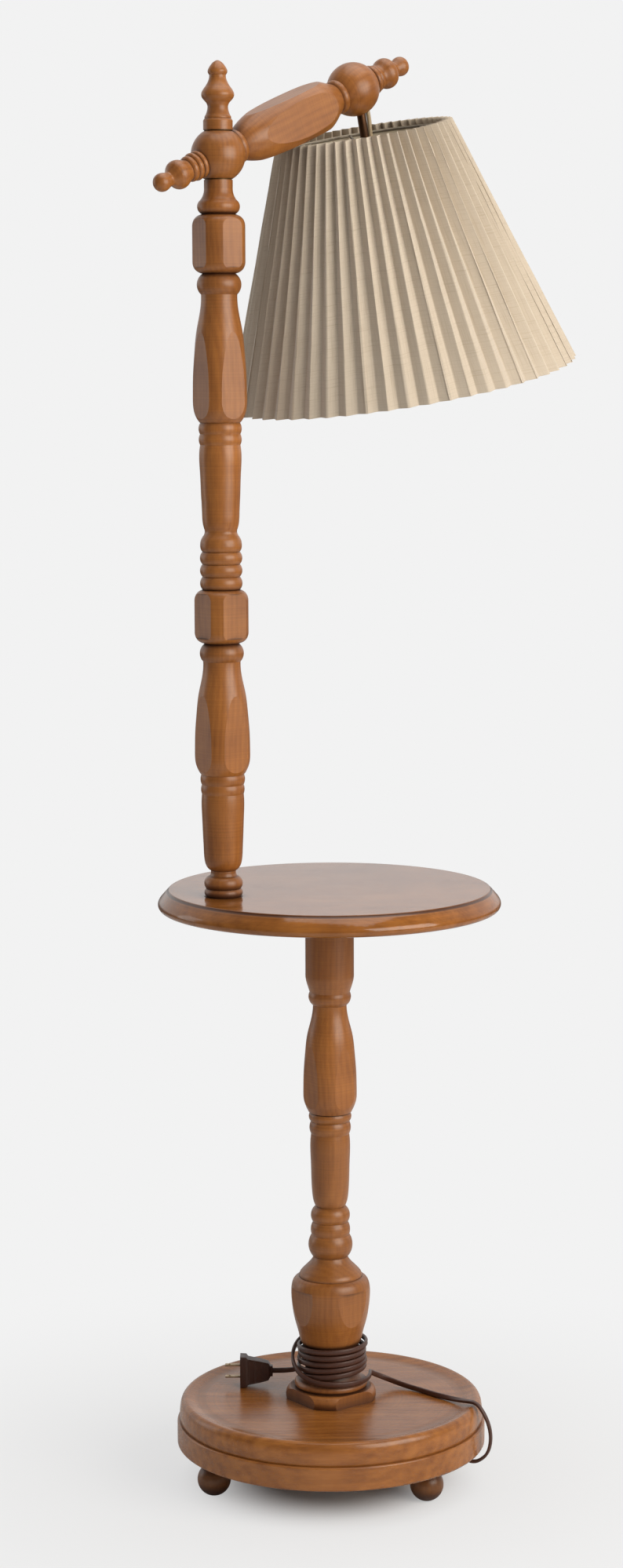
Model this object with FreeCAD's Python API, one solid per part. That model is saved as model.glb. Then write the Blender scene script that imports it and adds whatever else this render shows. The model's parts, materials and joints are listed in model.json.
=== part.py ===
"""Floor lamp with a tray table: turned wooden posts, a swivel arm and a pleated shade.

The frame: the origin is on the floor, on the axis of the pedestal that carries the table.
+Z is up, and +X runs from the upper column towards the middle of the table.
All sizes are in millimetres and all angles in degrees.
"""
import FreeCAD
import Part
import math
import os

V = FreeCAD.Vector
UP = V(0, 0, 1)

# ---------------------------------------------------------------- driving dimensions
# Fits and clearances
RUNNING_GAP = 0.08          # radial gap of a part that turns on another
FACE_GAP = 0.1              # gap between flat faces that turn past each other
SEAT_GAP = 0.05             # gap between parts that only rest against each other
HOLE_GAP = 0.3              # radial gap of a loose hole round a rod or a screw

# Ball feet
FOOT_HEIGHT = 42.0          # floor to the underside of the base
FOOT_BALL_RADIUS = 17.5
FOOT_NECK_RADIUS = 10.0
FOOT_PLACES = ((30.3, 177.5), (42.3, 301.0), (41.3, 63.5))  # each foot's way in from the rim, and heading
FOOT_FLAT = 0.8             # how much of the ball is cut flat where it stands
FOOT_SCREW_RADIUS = 2.5
FOOT_SCREW_DEPTH = 10.0     # how far each end of a foot screw goes in

# Base
BASE_LOWER_RADIUS = 162.8
BASE_LOWER_HEIGHT = 25.2
BASE_UPPER_RADIUS = BASE_LOWER_RADIUS - 2.6
BASE_UPPER_HEIGHT = 21.3
BASE_GROOVE_RADIUS = BASE_LOWER_RADIUS - 3.6    # foot of the upper board, where the thin dark groove is
BASE_RIM_RADIUS = BASE_LOWER_RADIUS - 8.8       # ridge of the rolled rim round the top
BASE_RIM_RISE = 3.0                             # how far that ridge stands above the flat top
BASE_FLAT_RADIUS = BASE_LOWER_RADIUS - 26.0     # where the rim's cove meets the flat top
BASE_EDGE_ROUND = 2.6
BASE_ARRIS = 1.8
WEIGHT_RADIUS = 90.0
WEIGHT_THICKNESS = 13.5
WEIGHT_BORE_RADIUS = 30.0
COVER_THICKNESS = 1.6
COVER_MARGIN = 5.0          # how far the cover laps past the weight

# Threaded pipes that clamp the turnings
PIPE_RADIUS = 4.85
PIPE_BORE_RADIUS = 3.3
NUT_ACROSS_FLATS = 17.0
NUT_THICKNESS = 5.0
WASHER_RADIUS = 11.0
WASHER_THICKNESS = 1.2

# Pedestal, from the base up: (height of each piece)
PLINTH_HEIGHT = 13.5
PLINTH_RADIUS = 47.6
NECK_HEIGHT = 44.0
NECK_RADIUS = 27.0
TORUS_RADIUS = 38.5
URN_HEIGHT = 75.5
URN_RADIUS = 41.6
URN_FOOT_RADIUS = 27.9
URN_CAP_HEIGHT = 21.2
URN_CAP_RADIUS = 34.0
URN_CAP_TOP_RADIUS = 18.2
LOWER_SPINDLE_HEIGHT = 155.7
LOWER_SPINDLE_RADIUS = 21.3
LOWER_VASE_HEIGHT = 113.8
LOWER_VASE_RADIUS = 28.0
LOWER_VASE_NECK_RADIUS = 17.6
PEDESTAL_TOP_HEIGHT = 102.0
PEDESTAL_TOP_RADIUS = 25.3

# Table
TABLE_RADIUS = 178.0
TABLE_THICKNESS = 21.4
TABLE_STEP_RADIUS = 168.0   # the small step inside the rounded edge
TABLE_STEP_HEIGHT = 1.6
FLANGE_RADIUS = 22.0
FLANGE_THICKNESS = 3.0
FLANGE_SCREW_CIRCLE = 15.0
SCREW_RADIUS = 1.8
SCREW_HEAD_RADIUS = 3.4
SCREW_HEAD_HEIGHT = 2.0
CHANNEL_WIDTH = 9.0
CHANNEL_DEPTH = 10.5
CHANNEL_COVER_THICKNESS = 1.5
CHANNEL_COVER_WIDTH = 26.0

# Upper column: its distance from the pedestal axis, and its pieces from the table up
COLUMN_OFFSET = 119.2
COLUMN_FOOT_HEIGHT = 27.0
COLUMN_FOOT_RADIUS = 19.6
COLUMN_FOOT_NECK_RADIUS = 12.8
COLUMN_FOOT_SPIGOT = 1.0    # how deep the foot is let into the table, flush round its edge
COLUMN_SPINDLE_HEIGHT = 98.8
COLUMN_SPINDLE_RADIUS = 21.8
COLUMN_VASE_HEIGHT = 115.4
COLUMN_VASE_RADIUS = 28.1
COLUMN_VASE_NECK_RADIUS = 19.0
COLUMN_BLOCK_BEAD_HEIGHT = 18.3
COLUMN_BLOCK_HEIGHT = 54.9
COLUMN_BLOCK_RADIUS = 27.3
COLUMN_BEAD_RADIUS = 22.3
RING_STACK_HEIGHT = 60.1
RING_RADIUS = 21.0
RING_NECK_RADIUS = 16.6
UPPER_SPINDLE_HEIGHT = 107.0
UPPER_SPINDLE_RADIUS = 21.3
UPPER_VASE_HEIGHT = 127.3
UPPER_VASE_RADIUS = 27.2
UPPER_VASE_NECK_RADIUS = 18.2
UPPER_BLOCK_BEAD_HEIGHT = 20.5
UPPER_BLOCK_HEIGHT = 58.5
UPPER_BLOCK_RADIUS = 26.5
COLUMN_CAP_HEIGHT = 33.4
COLUMN_CAP_RADIUS = 21.1
COLUMN_CAP_TOP_RADIUS = 14.4
FLAT_HEADING = 12.5         # heading of the first of the four hand-cut flats
BLOCK_FLAT_SHARE = 0.90     # distance of a flat from the axis, as a share of the radius
VASE_FLAT_SHARE = 0.855
SHOULDER_SHARE = 0.63       # radius of a block at its ends, as a share of its own radius
ARM_FLAT_SHARE = 0.79

# Swivel, arm and the turned ends of the arm
BALL_RADIUS = 27.3
SWIVEL_WASHER_THICKNESS = 1.0
SWIVEL_WASHER_RADIUS = 13.6
FINIAL_HEIGHT = 68.0
FINIAL_RADIUS = 16.4
FINIAL_FOOT_RADIUS = 14.7
FINIAL_SOCKET_DEPTH = 22.0
FINIAL_RELIEF = 0.6         # how far the arm keeps clear of the finial as it turns
STOP_PIN_RADIUS = 1.5
STOP_PIN_HEIGHT = 3.2
STOP_PIN_CIRCLE = 10.5
STOP_GROOVE_GAP = 0.4
STOP_HALF_ANGLE = 150.0     # how far the arm turns each way before the pin stops it
ARM_HEADING = 15.5
ARM_SLOPE = 22.2
ARM_SPAN = 191.0            # from ball centre to ball centre
ARM_RADIUS = 29.6
ARM_RING_RADIUS = 17.8
ARM_RING_WIDTH = 9.0
KNOB_TENON_RADIUS = 6.0
KNOB_TENON_LENGTH = 10.0
TIP_KNOB_NECK = 5.5         # how much longer the tip knob's neck is than the tail knob's
TIP_KNOB_SHARE = 1.09       # the tip knob's bead and button, as a share of the tail knob's
KNOB_BEAD_RADIUS = 14.6
KNOB_BUTTON_RADIUS = 9.2
COLLAR_LENGTH = 13.0
COLLAR_RADIUS = 14.2

# Shade, its stem and the lamp holder
SHADE_TILT = 11.6
SHADE_DROP = 44.0           # ball centre to the top edge of the shade
SHADE_HEIGHT = 261.5
SHADE_OFFSET = 6.0          # how far outwards the stem sits from the middle of the tip ball
SHADE_TOP_RADIUS = 92.5
SHADE_BOTTOM_RADIUS = 184.0
PLEAT_COUNT = 54
PLEAT_PANEL_WIDTH = 12.6
PLEAT_CLOTH_THICKNESS = 0.7
LINER_THICKNESS = 0.8
LINER_GAP = 0.3
LINER_RECESS = 6.0          # how far the liner stops below the cloth's top edge
SHADE_WIRE_RADIUS = 1.25
SPIDER_RIM = 4.0            # width of the hub ring that goes round the lamp holder
SPIDER_THICKNESS = 1.6
SPIDER_ARM_RADIUS = 1.5
SPIDER_ARM_COUNT = 3
SPIDER_HEADING = 30.0
STEM_RADIUS = 4.6
STEM_TOP_DEPTH = 15.0       # start of the stem below the ball centre, in its blind hole
LEAD_RADIUS = 2.3
SOCKET_RECESS = 6.0         # how far the lamp holder's cap lies below the shade's top edge
SOCKET_CAP_HEIGHT = 20.0
SOCKET_SHOULDER = 12.4      # cap top to the underside of its shoulder, where the hub lies
SHOULDER_WIDTH = 2.0
SHOULDER_THICKNESS = 1.4
RETAINING_RING_HEIGHT = 4.0
RETAINING_RING_WIDTH = 3.0
SOCKET_CAP_RADIUS = 17.5
SOCKET_SHELL_LENGTH = 42.0
SOCKET_SHELL_RADIUS = 17.0
SOCKET_WALL = 0.8
SOCKET_CORE_RADIUS = 14.6
BULB_RADIUS = 30.0
BULB_LENGTH = 82.0          # glass only
BULB_CAP_RADIUS = 13.0
BULB_CAP_LENGTH = 24.0
KEY_LENGTH = 17.0
KEY_STEM_RADIUS = 1.6
KEY_HANDLE_RADIUS = 5.0

# Mains cord
CORD_RADIUS = 2.6
CORD_HEADING = -41.5
CORD_EXIT_RADIUS = BASE_LOWER_RADIUS - 14.8
BUSHING_RADIUS = 4.6
BUSHING_LIP = 1.2
PLUG_LENGTH = 35.0
PLUG_WIDTH = 34.0
PLUG_NECK_WIDTH = 13.0
PLUG_THICKNESS = 17.0
PRONG_LENGTH = 16.0
PRONG_SPACING = 12.7
PRONG_WIDTH = 6.3
PRONG_THICKNESS = 1.5
VIEW_HEADING = 24.5         # heading of the table seen from the column, in the cord's own frame
WINDING_START = 24.0        # height of the first, lowest turn above the base
WINDING_TOP = 58.8          # height of the highest turn in front, above the base
WINDING_PITCH = 6.6
WINDING_OUTER_RADIUS = 40.4     # the first turn, which climbs over the others
WINDING_INNER_RADIUS = 35.0     # the turns that come down again
WINDING_SWAY = 0.7          # how unevenly the loose turns lie
WINDING_LEAN = 1.2          # how far the turns sit to one side of the neck
WINDING_CLIMB = (105.0, 255.0)  # where the first turn climbs
WINDING_END = 1980.0        # five turns and a half
WINDING_STEP = 60.0
WINDING_LEAD_IN = 8.0       # straight cord before the first turn and after the last

# ---------------------------------------------------------------- heights that follow
BASE_BOTTOM = FOOT_HEIGHT
BASE_SEAM = BASE_BOTTOM + BASE_LOWER_HEIGHT
BASE_TOP = BASE_SEAM + BASE_UPPER_HEIGHT
PLINTH_TOP = BASE_TOP + PLINTH_HEIGHT
NECK_TOP = PLINTH_TOP + NECK_HEIGHT
URN_TOP = NECK_TOP + URN_HEIGHT
URN_CAP_TOP = URN_TOP + URN_CAP_HEIGHT
LOWER_SPINDLE_TOP = URN_CAP_TOP + LOWER_SPINDLE_HEIGHT
LOWER_VASE_TOP = LOWER_SPINDLE_TOP + LOWER_VASE_HEIGHT
TABLE_BOTTOM = LOWER_VASE_TOP + PEDESTAL_TOP_HEIGHT
TABLE_TOP = TABLE_BOTTOM + TABLE_THICKNESS

COLUMN_FOOT_TOP = TABLE_TOP + COLUMN_FOOT_HEIGHT
COLUMN_SPINDLE_TOP = COLUMN_FOOT_TOP + COLUMN_SPINDLE_HEIGHT
COLUMN_VASE_TOP = COLUMN_SPINDLE_TOP + COLUMN_VASE_HEIGHT
COLUMN_BEAD_TOP = COLUMN_VASE_TOP + COLUMN_BLOCK_BEAD_HEIGHT
COLUMN_BLOCK_TOP = COLUMN_BEAD_TOP + COLUMN_BLOCK_HEIGHT
RING_STACK_TOP = COLUMN_BLOCK_TOP + RING_STACK_HEIGHT
UPPER_SPINDLE_TOP = RING_STACK_TOP + UPPER_SPINDLE_HEIGHT
UPPER_VASE_TOP = UPPER_SPINDLE_TOP + UPPER_VASE_HEIGHT
UPPER_BEAD_TOP = UPPER_VASE_TOP + UPPER_BLOCK_BEAD_HEIGHT
UPPER_BLOCK_TOP = UPPER_BEAD_TOP + UPPER_BLOCK_HEIGHT
COLUMN_CAP_TOP = UPPER_BLOCK_TOP + COLUMN_CAP_HEIGHT
BALL_FLAT_HEIGHT = math.sqrt(BALL_RADIUS ** 2 - COLUMN_CAP_TOP_RADIUS ** 2)
BALL_BOTTOM = COLUMN_CAP_TOP + SWIVEL_WASHER_THICKNESS + 2 * FACE_GAP
SWIVEL_HEIGHT = BALL_BOTTOM + BALL_FLAT_HEIGHT
BALL_TOP = SWIVEL_HEIGHT + BALL_FLAT_HEIGHT
FINIAL_BOTTOM = BALL_TOP + SWIVEL_WASHER_THICKNESS + 2 * FACE_GAP

COLUMN_AXIS = V(-COLUMN_OFFSET, 0, 0)


# ---------------------------------------------------------------- directions
def heading(angle, length=1.0):
    """A level vector of this length, turned by angle from +X."""
    return V(length * math.cos(math.radians(angle)), length * math.sin(math.radians(angle)), 0)


ARM_LEVEL = heading(ARM_HEADING)
ARM_DIRECTION = ARM_LEVEL * math.cos(math.radians(ARM_SLOPE)) + UP * math.sin(math.radians(ARM_SLOPE))
SWIVEL_CENTRE = COLUMN_AXIS + UP * SWIVEL_HEIGHT
TIP_CENTRE = SWIVEL_CENTRE + ARM_DIRECTION * ARM_SPAN
SHADE_DOWN = ARM_LEVEL * math.sin(math.radians(SHADE_TILT)) - UP * math.cos(math.radians(SHADE_TILT))
ARM_SIDE = UP.cross(ARM_LEVEL)


BESIDE = ARM_LEVEL * math.cos(math.radians(SHADE_TILT)) + UP * math.sin(math.radians(SHADE_TILT))
SHADE_ORIGIN = TIP_CENTRE + BESIDE * SHADE_OFFSET


def placed_along(shape, origin, direction, side=ARM_SIDE):
    """Move a shape modelled on +Z so that its +Z lies along direction and its +X on side."""
    z = V(direction).normalize()
    x = V(side).normalize()
    y = z.cross(x)
    x = y.cross(z)
    matrix = FreeCAD.Matrix(x.x, y.x, z.x, origin.x,
                            x.y, y.y, z.y, origin.y,
                            x.z, y.z, z.z, origin.z,
                            0, 0, 0, 1)
    moved = shape.copy()
    moved.Placement = FreeCAD.Placement(matrix).multiply(moved.Placement)
    return moved


# ---------------------------------------------------------------- turning on the lathe
class Turning:
    """An outline of radius against height, built upwards and spun about +Z."""

    def __init__(self, radius, height=0.0):
        self.start = (radius, height)
        self.here = (radius, height)
        self.edges = []

    def point(self, radius, height):
        return V(radius, 0, height)

    def line(self, radius, height):
        """A straight run to this radius and height."""
        if (radius, height) != self.here:
            self.edges.append(Part.LineSegment(self.point(*self.here), self.point(radius, height)).toShape())
            self.here = (radius, height)
        return self

    def bead(self, radius, height, peak):
        """A round through a peak radius halfway up; a cove if the peak is the smaller radius."""
        middle = self.point(peak, (self.here[1] + height) / 2)
        arc = Part.Arc(self.point(*self.here), middle, self.point(radius, height))
        self.edges.append(arc.toShape())
        self.here = (radius, height)
        return self

    def arc(self, middle, end):
        """A round through a middle (radius, height) to an end (radius, height)."""
        self.edges.append(Part.Arc(self.point(*self.here), self.point(*middle), self.point(*end)).toShape())
        self.here = end
        return self

    def curve(self, *points):
        """A smooth curve through these (radius, height) points."""
        spline = Part.BSplineCurve()
        spline.interpolate([self.point(*p) for p in (self.here,) + points])
        self.edges.append(spline.toShape())
        self.here = points[-1]
        return self

    def solid(self, bore=0.0):
        """Close the outline on the axis, or on a bore, and spin it."""
        low, high = self.start, self.here
        edges = list(self.edges)
        if high[0] > bore:
            edges.append(Part.LineSegment(self.point(*high), self.point(bore, high[1])).toShape())
        edges.append(Part.LineSegment(self.point(bore, high[1]), self.point(bore, low[1])).toShape())
        if low[0] > bore:
            edges.append(Part.LineSegment(self.point(bore, low[1]), self.point(*low)).toShape())
        face = Part.Face(Part.Wire(Part.__sortEdges__(edges)))
        return face.revolve(V(0, 0, 0), UP, 360)


def cylinder(radius, height, base=V(0, 0, 0), direction=UP):
    return Part.makeCylinder(radius, height, base, direction)


def ring(outer, inner, height, base=V(0, 0, 0), direction=UP):
    return cylinder(outer, height, base, direction).cut(cylinder(inner, height, base, direction))


def with_flats(shape, distance, low, high, angle=FLAT_HEADING):
    """Plane four flats on a turning, at this distance from its axis."""
    side = 2 * distance
    reach = 4 * distance
    prism = Part.makeBox(side, side, high - low, V(-distance, -distance, low))
    wide = Part.makeBox(reach, reach, high - low, V(-reach / 2, -reach / 2, low))
    chips = wide.cut(prism)
    chips.rotate(V(0, 0, 0), UP, angle)
    return shape.cut(chips)


def on_column(shape):
    moved = shape.copy()
    moved.translate(COLUMN_AXIS)
    return moved


def vase(length, radius, neck, foot, bore):
    """A turned vase with a wide foot, a long narrowing body and a slim neck."""
    outline = Turning(foot, 0)
    outline.curve((radius * 0.90, length * 0.050), (radius * 0.975, length * 0.105),
                  (radius, length * 0.21), (radius * 0.985, length * 0.37),
                  (radius * 0.93, length * 0.545), (radius * 0.845, length * 0.72),
                  ((radius * 0.74 + neck) / 2, length * 0.88), (neck, length))
    return outline.solid(bore)


def raised(shape, height):
    moved = shape.copy()
    moved.translate(UP * height)
    return moved


PIPE_HOLE_RADIUS = PIPE_RADIUS + HOLE_GAP
SHAPES = {}


def keep(name, *solids):
    """Hold a node's solids until all are written out."""
    SHAPES[name] = solids[0] if len(solids) == 1 else Part.makeCompound(list(solids))


# ---------------------------------------------------------------- feet
def foot_places():
    return [heading(angle, BASE_LOWER_RADIUS - inset) for inset, angle in FOOT_PLACES]


def ball_foot(place):
    """A ball foot with a short neck, cut flat where it stands."""
    centre_height = FOOT_BALL_RADIUS - FOOT_FLAT
    flat_radius = math.sqrt(FOOT_BALL_RADIUS ** 2 - centre_height ** 2)
    neck_height = centre_height + math.sqrt(FOOT_BALL_RADIUS ** 2 - FOOT_NECK_RADIUS ** 2)
    outline = Turning(flat_radius, 0)
    outline.arc((FOOT_BALL_RADIUS, centre_height), (FOOT_NECK_RADIUS, neck_height))
    outline.line(FOOT_NECK_RADIUS, FOOT_HEIGHT - 3.0)
    outline.bead(FOOT_NECK_RADIUS, FOOT_HEIGHT, FOOT_NECK_RADIUS + 1.5)
    foot = outline.solid()
    hole = cylinder(FOOT_SCREW_RADIUS, FOOT_SCREW_DEPTH, V(0, 0, FOOT_HEIGHT - FOOT_SCREW_DEPTH))
    foot = foot.cut(hole)
    foot.translate(place)
    return foot


def foot_screw(place):
    """A headless screw, half in the foot and half in the base."""
    low = place + UP * (FOOT_HEIGHT - FOOT_SCREW_DEPTH)
    return cylinder(FOOT_SCREW_RADIUS, 2 * FOOT_SCREW_DEPTH, low)


def build_feet():
    for number, place in enumerate(foot_places(), 1):
        keep("ball_foot_%d" % number, ball_foot(place))
    keep("foot_screws", *[foot_screw(place) for place in foot_places()])


# ---------------------------------------------------------------- base
RECESS_HEIGHT = WEIGHT_THICKNESS + COVER_THICKNESS + SEAT_GAP
WELL_RADIUS = 18.0          # pocket round the foot of the pipe, where the lead turns up
WELL_HEIGHT = 16.0
LEAD_LEVEL = BASE_SEAM - 3.6
LEAD_HOLE_RADIUS = LEAD_RADIUS + HOLE_GAP
LEAD_BEND = 14.0
LEAD_EXIT_BEND = 5.0
BUSHING_TOP = LEAD_LEVEL - LEAD_EXIT_BEND - 1.0


def lead_channel(width, level, start, stop, depth, angle):
    """A square channel along a heading, from radius start to radius stop."""
    box = Part.makeBox(stop - start, width, depth, V(start, -width / 2, level))
    box.rotate(V(0, 0, 0), UP, angle)
    return box


def base_lower():
    """The lower board: rounded edge, weight recess under it and lead channel on it."""
    height = BASE_LOWER_HEIGHT
    edge = BASE_LOWER_RADIUS
    low_share, high_share = BASE_EDGE_ROUND * (1 - math.sqrt(0.5)), BASE_ARRIS * (1 - math.sqrt(0.5))
    outline = Turning(edge - BASE_EDGE_ROUND, 0)
    outline.arc((edge - low_share, low_share), (edge, BASE_EDGE_ROUND))
    outline.line(edge, height - BASE_ARRIS)
    outline.arc((edge - high_share, height - high_share), (edge - BASE_ARRIS, height))
    board = raised(outline.solid(PIPE_HOLE_RADIUS), BASE_BOTTOM)
    board = board.cut(cylinder(WEIGHT_RADIUS + HOLE_GAP, RECESS_HEIGHT, V(0, 0, BASE_BOTTOM)))
    board = board.cut(cylinder(WEIGHT_RADIUS + COVER_MARGIN, COVER_THICKNESS, V(0, 0, BASE_BOTTOM)))
    channel_floor = LEAD_LEVEL - LEAD_RADIUS - HOLE_GAP
    channel_top = BASE_SEAM - channel_floor
    board = board.cut(lead_channel(2 * LEAD_HOLE_RADIUS, channel_floor, 0,
                                   CORD_EXIT_RADIUS + LEAD_HOLE_RADIUS, channel_top, CORD_HEADING))
    exit_place = heading(CORD_HEADING, CORD_EXIT_RADIUS)
    board = board.cut(cylinder(BUSHING_RADIUS, BASE_LOWER_HEIGHT, exit_place + UP * BASE_BOTTOM))
    for place in foot_places():
        board = board.cut(cylinder(FOOT_SCREW_RADIUS, FOOT_SCREW_DEPTH, place + UP * BASE_BOTTOM))
    return board


def base_upper():
    """The upper board: a rolled rim that stands above the flat top, with a cove inside it."""
    height = BASE_UPPER_HEIGHT
    edge = BASE_UPPER_RADIUS
    outline = Turning(BASE_GROOVE_RADIUS, 0)
    ridge, flat, rise = BASE_RIM_RADIUS, BASE_FLAT_RADIUS, BASE_RIM_RISE
    cove = ridge - flat
    outline.curve((edge - 0.2, height * 0.14), (edge, height * 0.42), (edge - 0.6, height * 0.70),
                  (edge - 2.6, height + rise * 0.05), (ridge, height + rise),
                  (ridge - cove * 0.27, height + rise * 0.74), (ridge - cove * 0.56, height + rise * 0.27),
                  (ridge - cove * 0.82, height + rise * 0.04), (flat, height))
    board = raised(outline.solid(PIPE_HOLE_RADIUS), BASE_SEAM)
    return board.cut(cylinder(WELL_RADIUS, WELL_HEIGHT, V(0, 0, BASE_SEAM)))


def base_weight():
    """A cast iron ring in the recess, under the boards."""
    low = BASE_BOTTOM + COVER_THICKNESS
    return ring(WEIGHT_RADIUS, WEIGHT_BORE_RADIUS, WEIGHT_THICKNESS, V(0, 0, low))


def base_cover():
    """A thin board that closes the recess."""
    radius = WEIGHT_RADIUS + COVER_MARGIN - HOLE_GAP
    return cylinder(radius, COVER_THICKNESS - SEAT_GAP, V(0, 0, BASE_BOTTOM))


def cord_bushing():
    """A lipped rubber bushing in the underside, where the cord leaves."""
    place = heading(CORD_HEADING, CORD_EXIT_RADIUS)
    bore = CORD_RADIUS
    outline = Turning(BUSHING_RADIUS + 1.6, -BUSHING_LIP)
    outline.line(BUSHING_RADIUS + 2.4, -SEAT_GAP)
    outline.line(BUSHING_RADIUS - SEAT_GAP, -SEAT_GAP)
    outline.line(BUSHING_RADIUS - SEAT_GAP, BUSHING_TOP - BASE_BOTTOM)
    bushing = outline.solid(bore)
    bushing.translate(place + UP * BASE_BOTTOM)
    return bushing


def build_base():
    keep("base_lower_board", base_lower())
    keep("base_upper_board", base_upper())
    keep("base_weight", base_weight())
    keep("base_cover", base_cover())
    keep("cord_bushing", cord_bushing())


# ---------------------------------------------------------------- pedestal
def plinth():
    """A low turned block with four flats and a torus on it."""
    height = PLINTH_HEIGHT
    radius = PLINTH_RADIUS
    outline = Turning(radius - 1.0, 0)
    outline.curve((radius, height * 0.3), (radius - 1.0, height * 0.72), (radius - 5.0, height))
    low = with_flats(outline.solid(PIPE_HOLE_RADIUS), radius * VASE_FLAT_SHARE, 0, height)
    return raised(low, BASE_TOP)


def pedestal_neck():
    """A torus and the slim neck that the cord is wound round."""
    outline = Turning(TORUS_RADIUS - 2.0, 0)
    outline.bead(TORUS_RADIUS - 3.0, 8.0, TORUS_RADIUS)
    outline.curve((NECK_RADIUS + 2.0, 13.0), (NECK_RADIUS, 22.0), (NECK_RADIUS - 1.0, NECK_HEIGHT * 0.7),
                  (NECK_RADIUS, NECK_HEIGHT * 0.88), (URN_FOOT_RADIUS, NECK_HEIGHT))
    return raised(outline.solid(PIPE_HOLE_RADIUS), PLINTH_TOP)


def urn():
    """The urn, with four shallow flats on its belly and a rounded shoulder."""
    height = URN_HEIGHT
    radius = URN_RADIUS
    outline = Turning(URN_FOOT_RADIUS, 0)
    outline.curve((radius * 0.75, height * 0.058), (radius * 0.82, height * 0.195),
                  (radius * 0.909, height * 0.376), (radius * 0.969, height * 0.556),
                  (radius, height * 0.76), (radius * 0.986, height * 0.874),
                  (radius * 0.923, height * 0.96), (URN_CAP_RADIUS - 0.6, height))
    body = with_flats(outline.solid(PIPE_HOLE_RADIUS), radius * BLOCK_FLAT_SHARE, 0, height * 0.86)
    return raised(body, NECK_TOP)


def lower_spindle():
    """The urn's cap, three beads, a tapered spindle and two rings under the vase."""
    cap = URN_CAP_RADIUS
    step = URN_CAP_HEIGHT
    outline = Turning(cap - 1.0, 0)
    outline.curve((cap * 0.955, step * 0.16), (cap * 0.865, step * 0.35), (cap * 0.765, step * 0.51),
                  (cap * 0.66, step * 0.68), (cap * 0.58, step * 0.84), (URN_CAP_TOP_RADIUS, step))
    radius = LOWER_SPINDLE_RADIUS
    height = LOWER_SPINDLE_HEIGHT
    outline.bead(radius * 0.93, step + height * 0.153, radius * 1.09)
    outline.bead(radius * 0.86, step + height * 0.24, radius * 0.97)
    outline.bead(radius * 0.73, step + height * 0.349, radius * 0.96)
    outline.curve((radius * 0.84, step + height * 0.39), (radius * 0.895, step + height * 0.44),
                  (radius * 0.935, step + height * 0.54), (radius * 0.96, step + height * 0.66),
                  (radius * 0.98, step + height * 0.79), (radius * 0.94, step + height * 0.85))
    outline.bead(radius * 0.94, step + height * 0.935, radius * 1.02)
    outline.bead(radius * 0.96, step + height, radius * 1.05)
    return raised(outline.solid(PIPE_HOLE_RADIUS), URN_TOP)


def lower_vase():
    body = vase(LOWER_VASE_HEIGHT, LOWER_VASE_RADIUS, LOWER_VASE_NECK_RADIUS,
                LOWER_VASE_RADIUS * 0.80, PIPE_HOLE_RADIUS)
    body = with_flats(body, LOWER_VASE_RADIUS * BLOCK_FLAT_SHARE, 0, LOWER_VASE_HEIGHT)
    return raised(body, LOWER_SPINDLE_TOP)


def pedestal_top():
    """A bead and the plain drum that carries the table, hollowed for the flange."""
    radius = PEDESTAL_TOP_RADIUS
    height = PEDESTAL_TOP_HEIGHT
    outline = Turning(LOWER_VASE_NECK_RADIUS, 0)
    outline.bead(radius * 0.83, height * 0.135, radius * 0.87)
    outline.curve((radius * 0.90, height * 0.19), (radius * 0.975, height * 0.255), (radius, height * 0.33))
    outline.line(radius, height)
    body = outline.solid(PIPE_HOLE_RADIUS)
    recess = cylinder(FLANGE_RADIUS + HOLE_GAP, FLANGE_THICKNESS + SCREW_HEAD_HEIGHT + SEAT_GAP,
                      V(0, 0, height - FLANGE_THICKNESS - SCREW_HEAD_HEIGHT - SEAT_GAP))
    return raised(body.cut(recess), LOWER_VASE_TOP)


def hex_nut(low):
    """A low hexagon nut round the pipe, its lower face at this height."""
    corner = NUT_ACROSS_FLATS / math.sqrt(3)
    corners = [heading(60 * k, corner) for k in range(7)]
    nut = Part.Face(Part.makePolygon(corners)).extrude(UP * NUT_THICKNESS)
    return raised(nut.cut(cylinder(PIPE_RADIUS, NUT_THICKNESS)), low)


def pipe_washer(low):
    return ring(WASHER_RADIUS, PIPE_RADIUS + SEAT_GAP, WASHER_THICKNESS, V(0, 0, low))


def pipe_nuts():
    """A nut and a washer on the lower end of each pipe."""
    base_washer = BASE_BOTTOM + RECESS_HEIGHT - WASHER_THICKNESS
    return [hex_nut(base_washer - NUT_THICKNESS), pipe_washer(base_washer),
            on_column(hex_nut(COLUMN_WASHER_BOTTOM - NUT_THICKNESS)),
            on_column(pipe_washer(COLUMN_WASHER_BOTTOM))]


def pedestal_pipe():
    """A threaded pipe from under the base to the flange, slotted where the lead goes in."""
    low = BASE_BOTTOM + RECESS_HEIGHT - WASHER_THICKNESS - NUT_THICKNESS - 2.0
    pipe = ring(PIPE_RADIUS, PIPE_BORE_RADIUS, TABLE_BOTTOM - low, V(0, 0, low))
    slot = lead_channel(2 * LEAD_HOLE_RADIUS, LEAD_LEVEL - LEAD_HOLE_RADIUS, 0, 2 * PIPE_RADIUS,
                        LEAD_BEND + 2 * LEAD_HOLE_RADIUS, CORD_HEADING)
    return pipe.cut(slot)


def build_pedestal():
    keep("pedestal_plinth", plinth())
    keep("pedestal_neck", pedestal_neck())
    keep("pedestal_urn", urn())
    keep("pedestal_spindle", lower_spindle())
    keep("pedestal_vase", lower_vase())
    keep("pedestal_top", pedestal_top())
    keep("pedestal_pipe", pedestal_pipe())


# ---------------------------------------------------------------- table
COLUMN_WASHER_BOTTOM = TABLE_BOTTOM + 13.0
CHANNEL_LEVEL_NEAR = TABLE_BOTTOM + 6.8     # height of the lead over the pedestal pipe
CHANNEL_LEVEL_FAR = TABLE_BOTTOM + 4.2      # height of the lead under the column pipe
TABLE_BEND = 6.2


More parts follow.
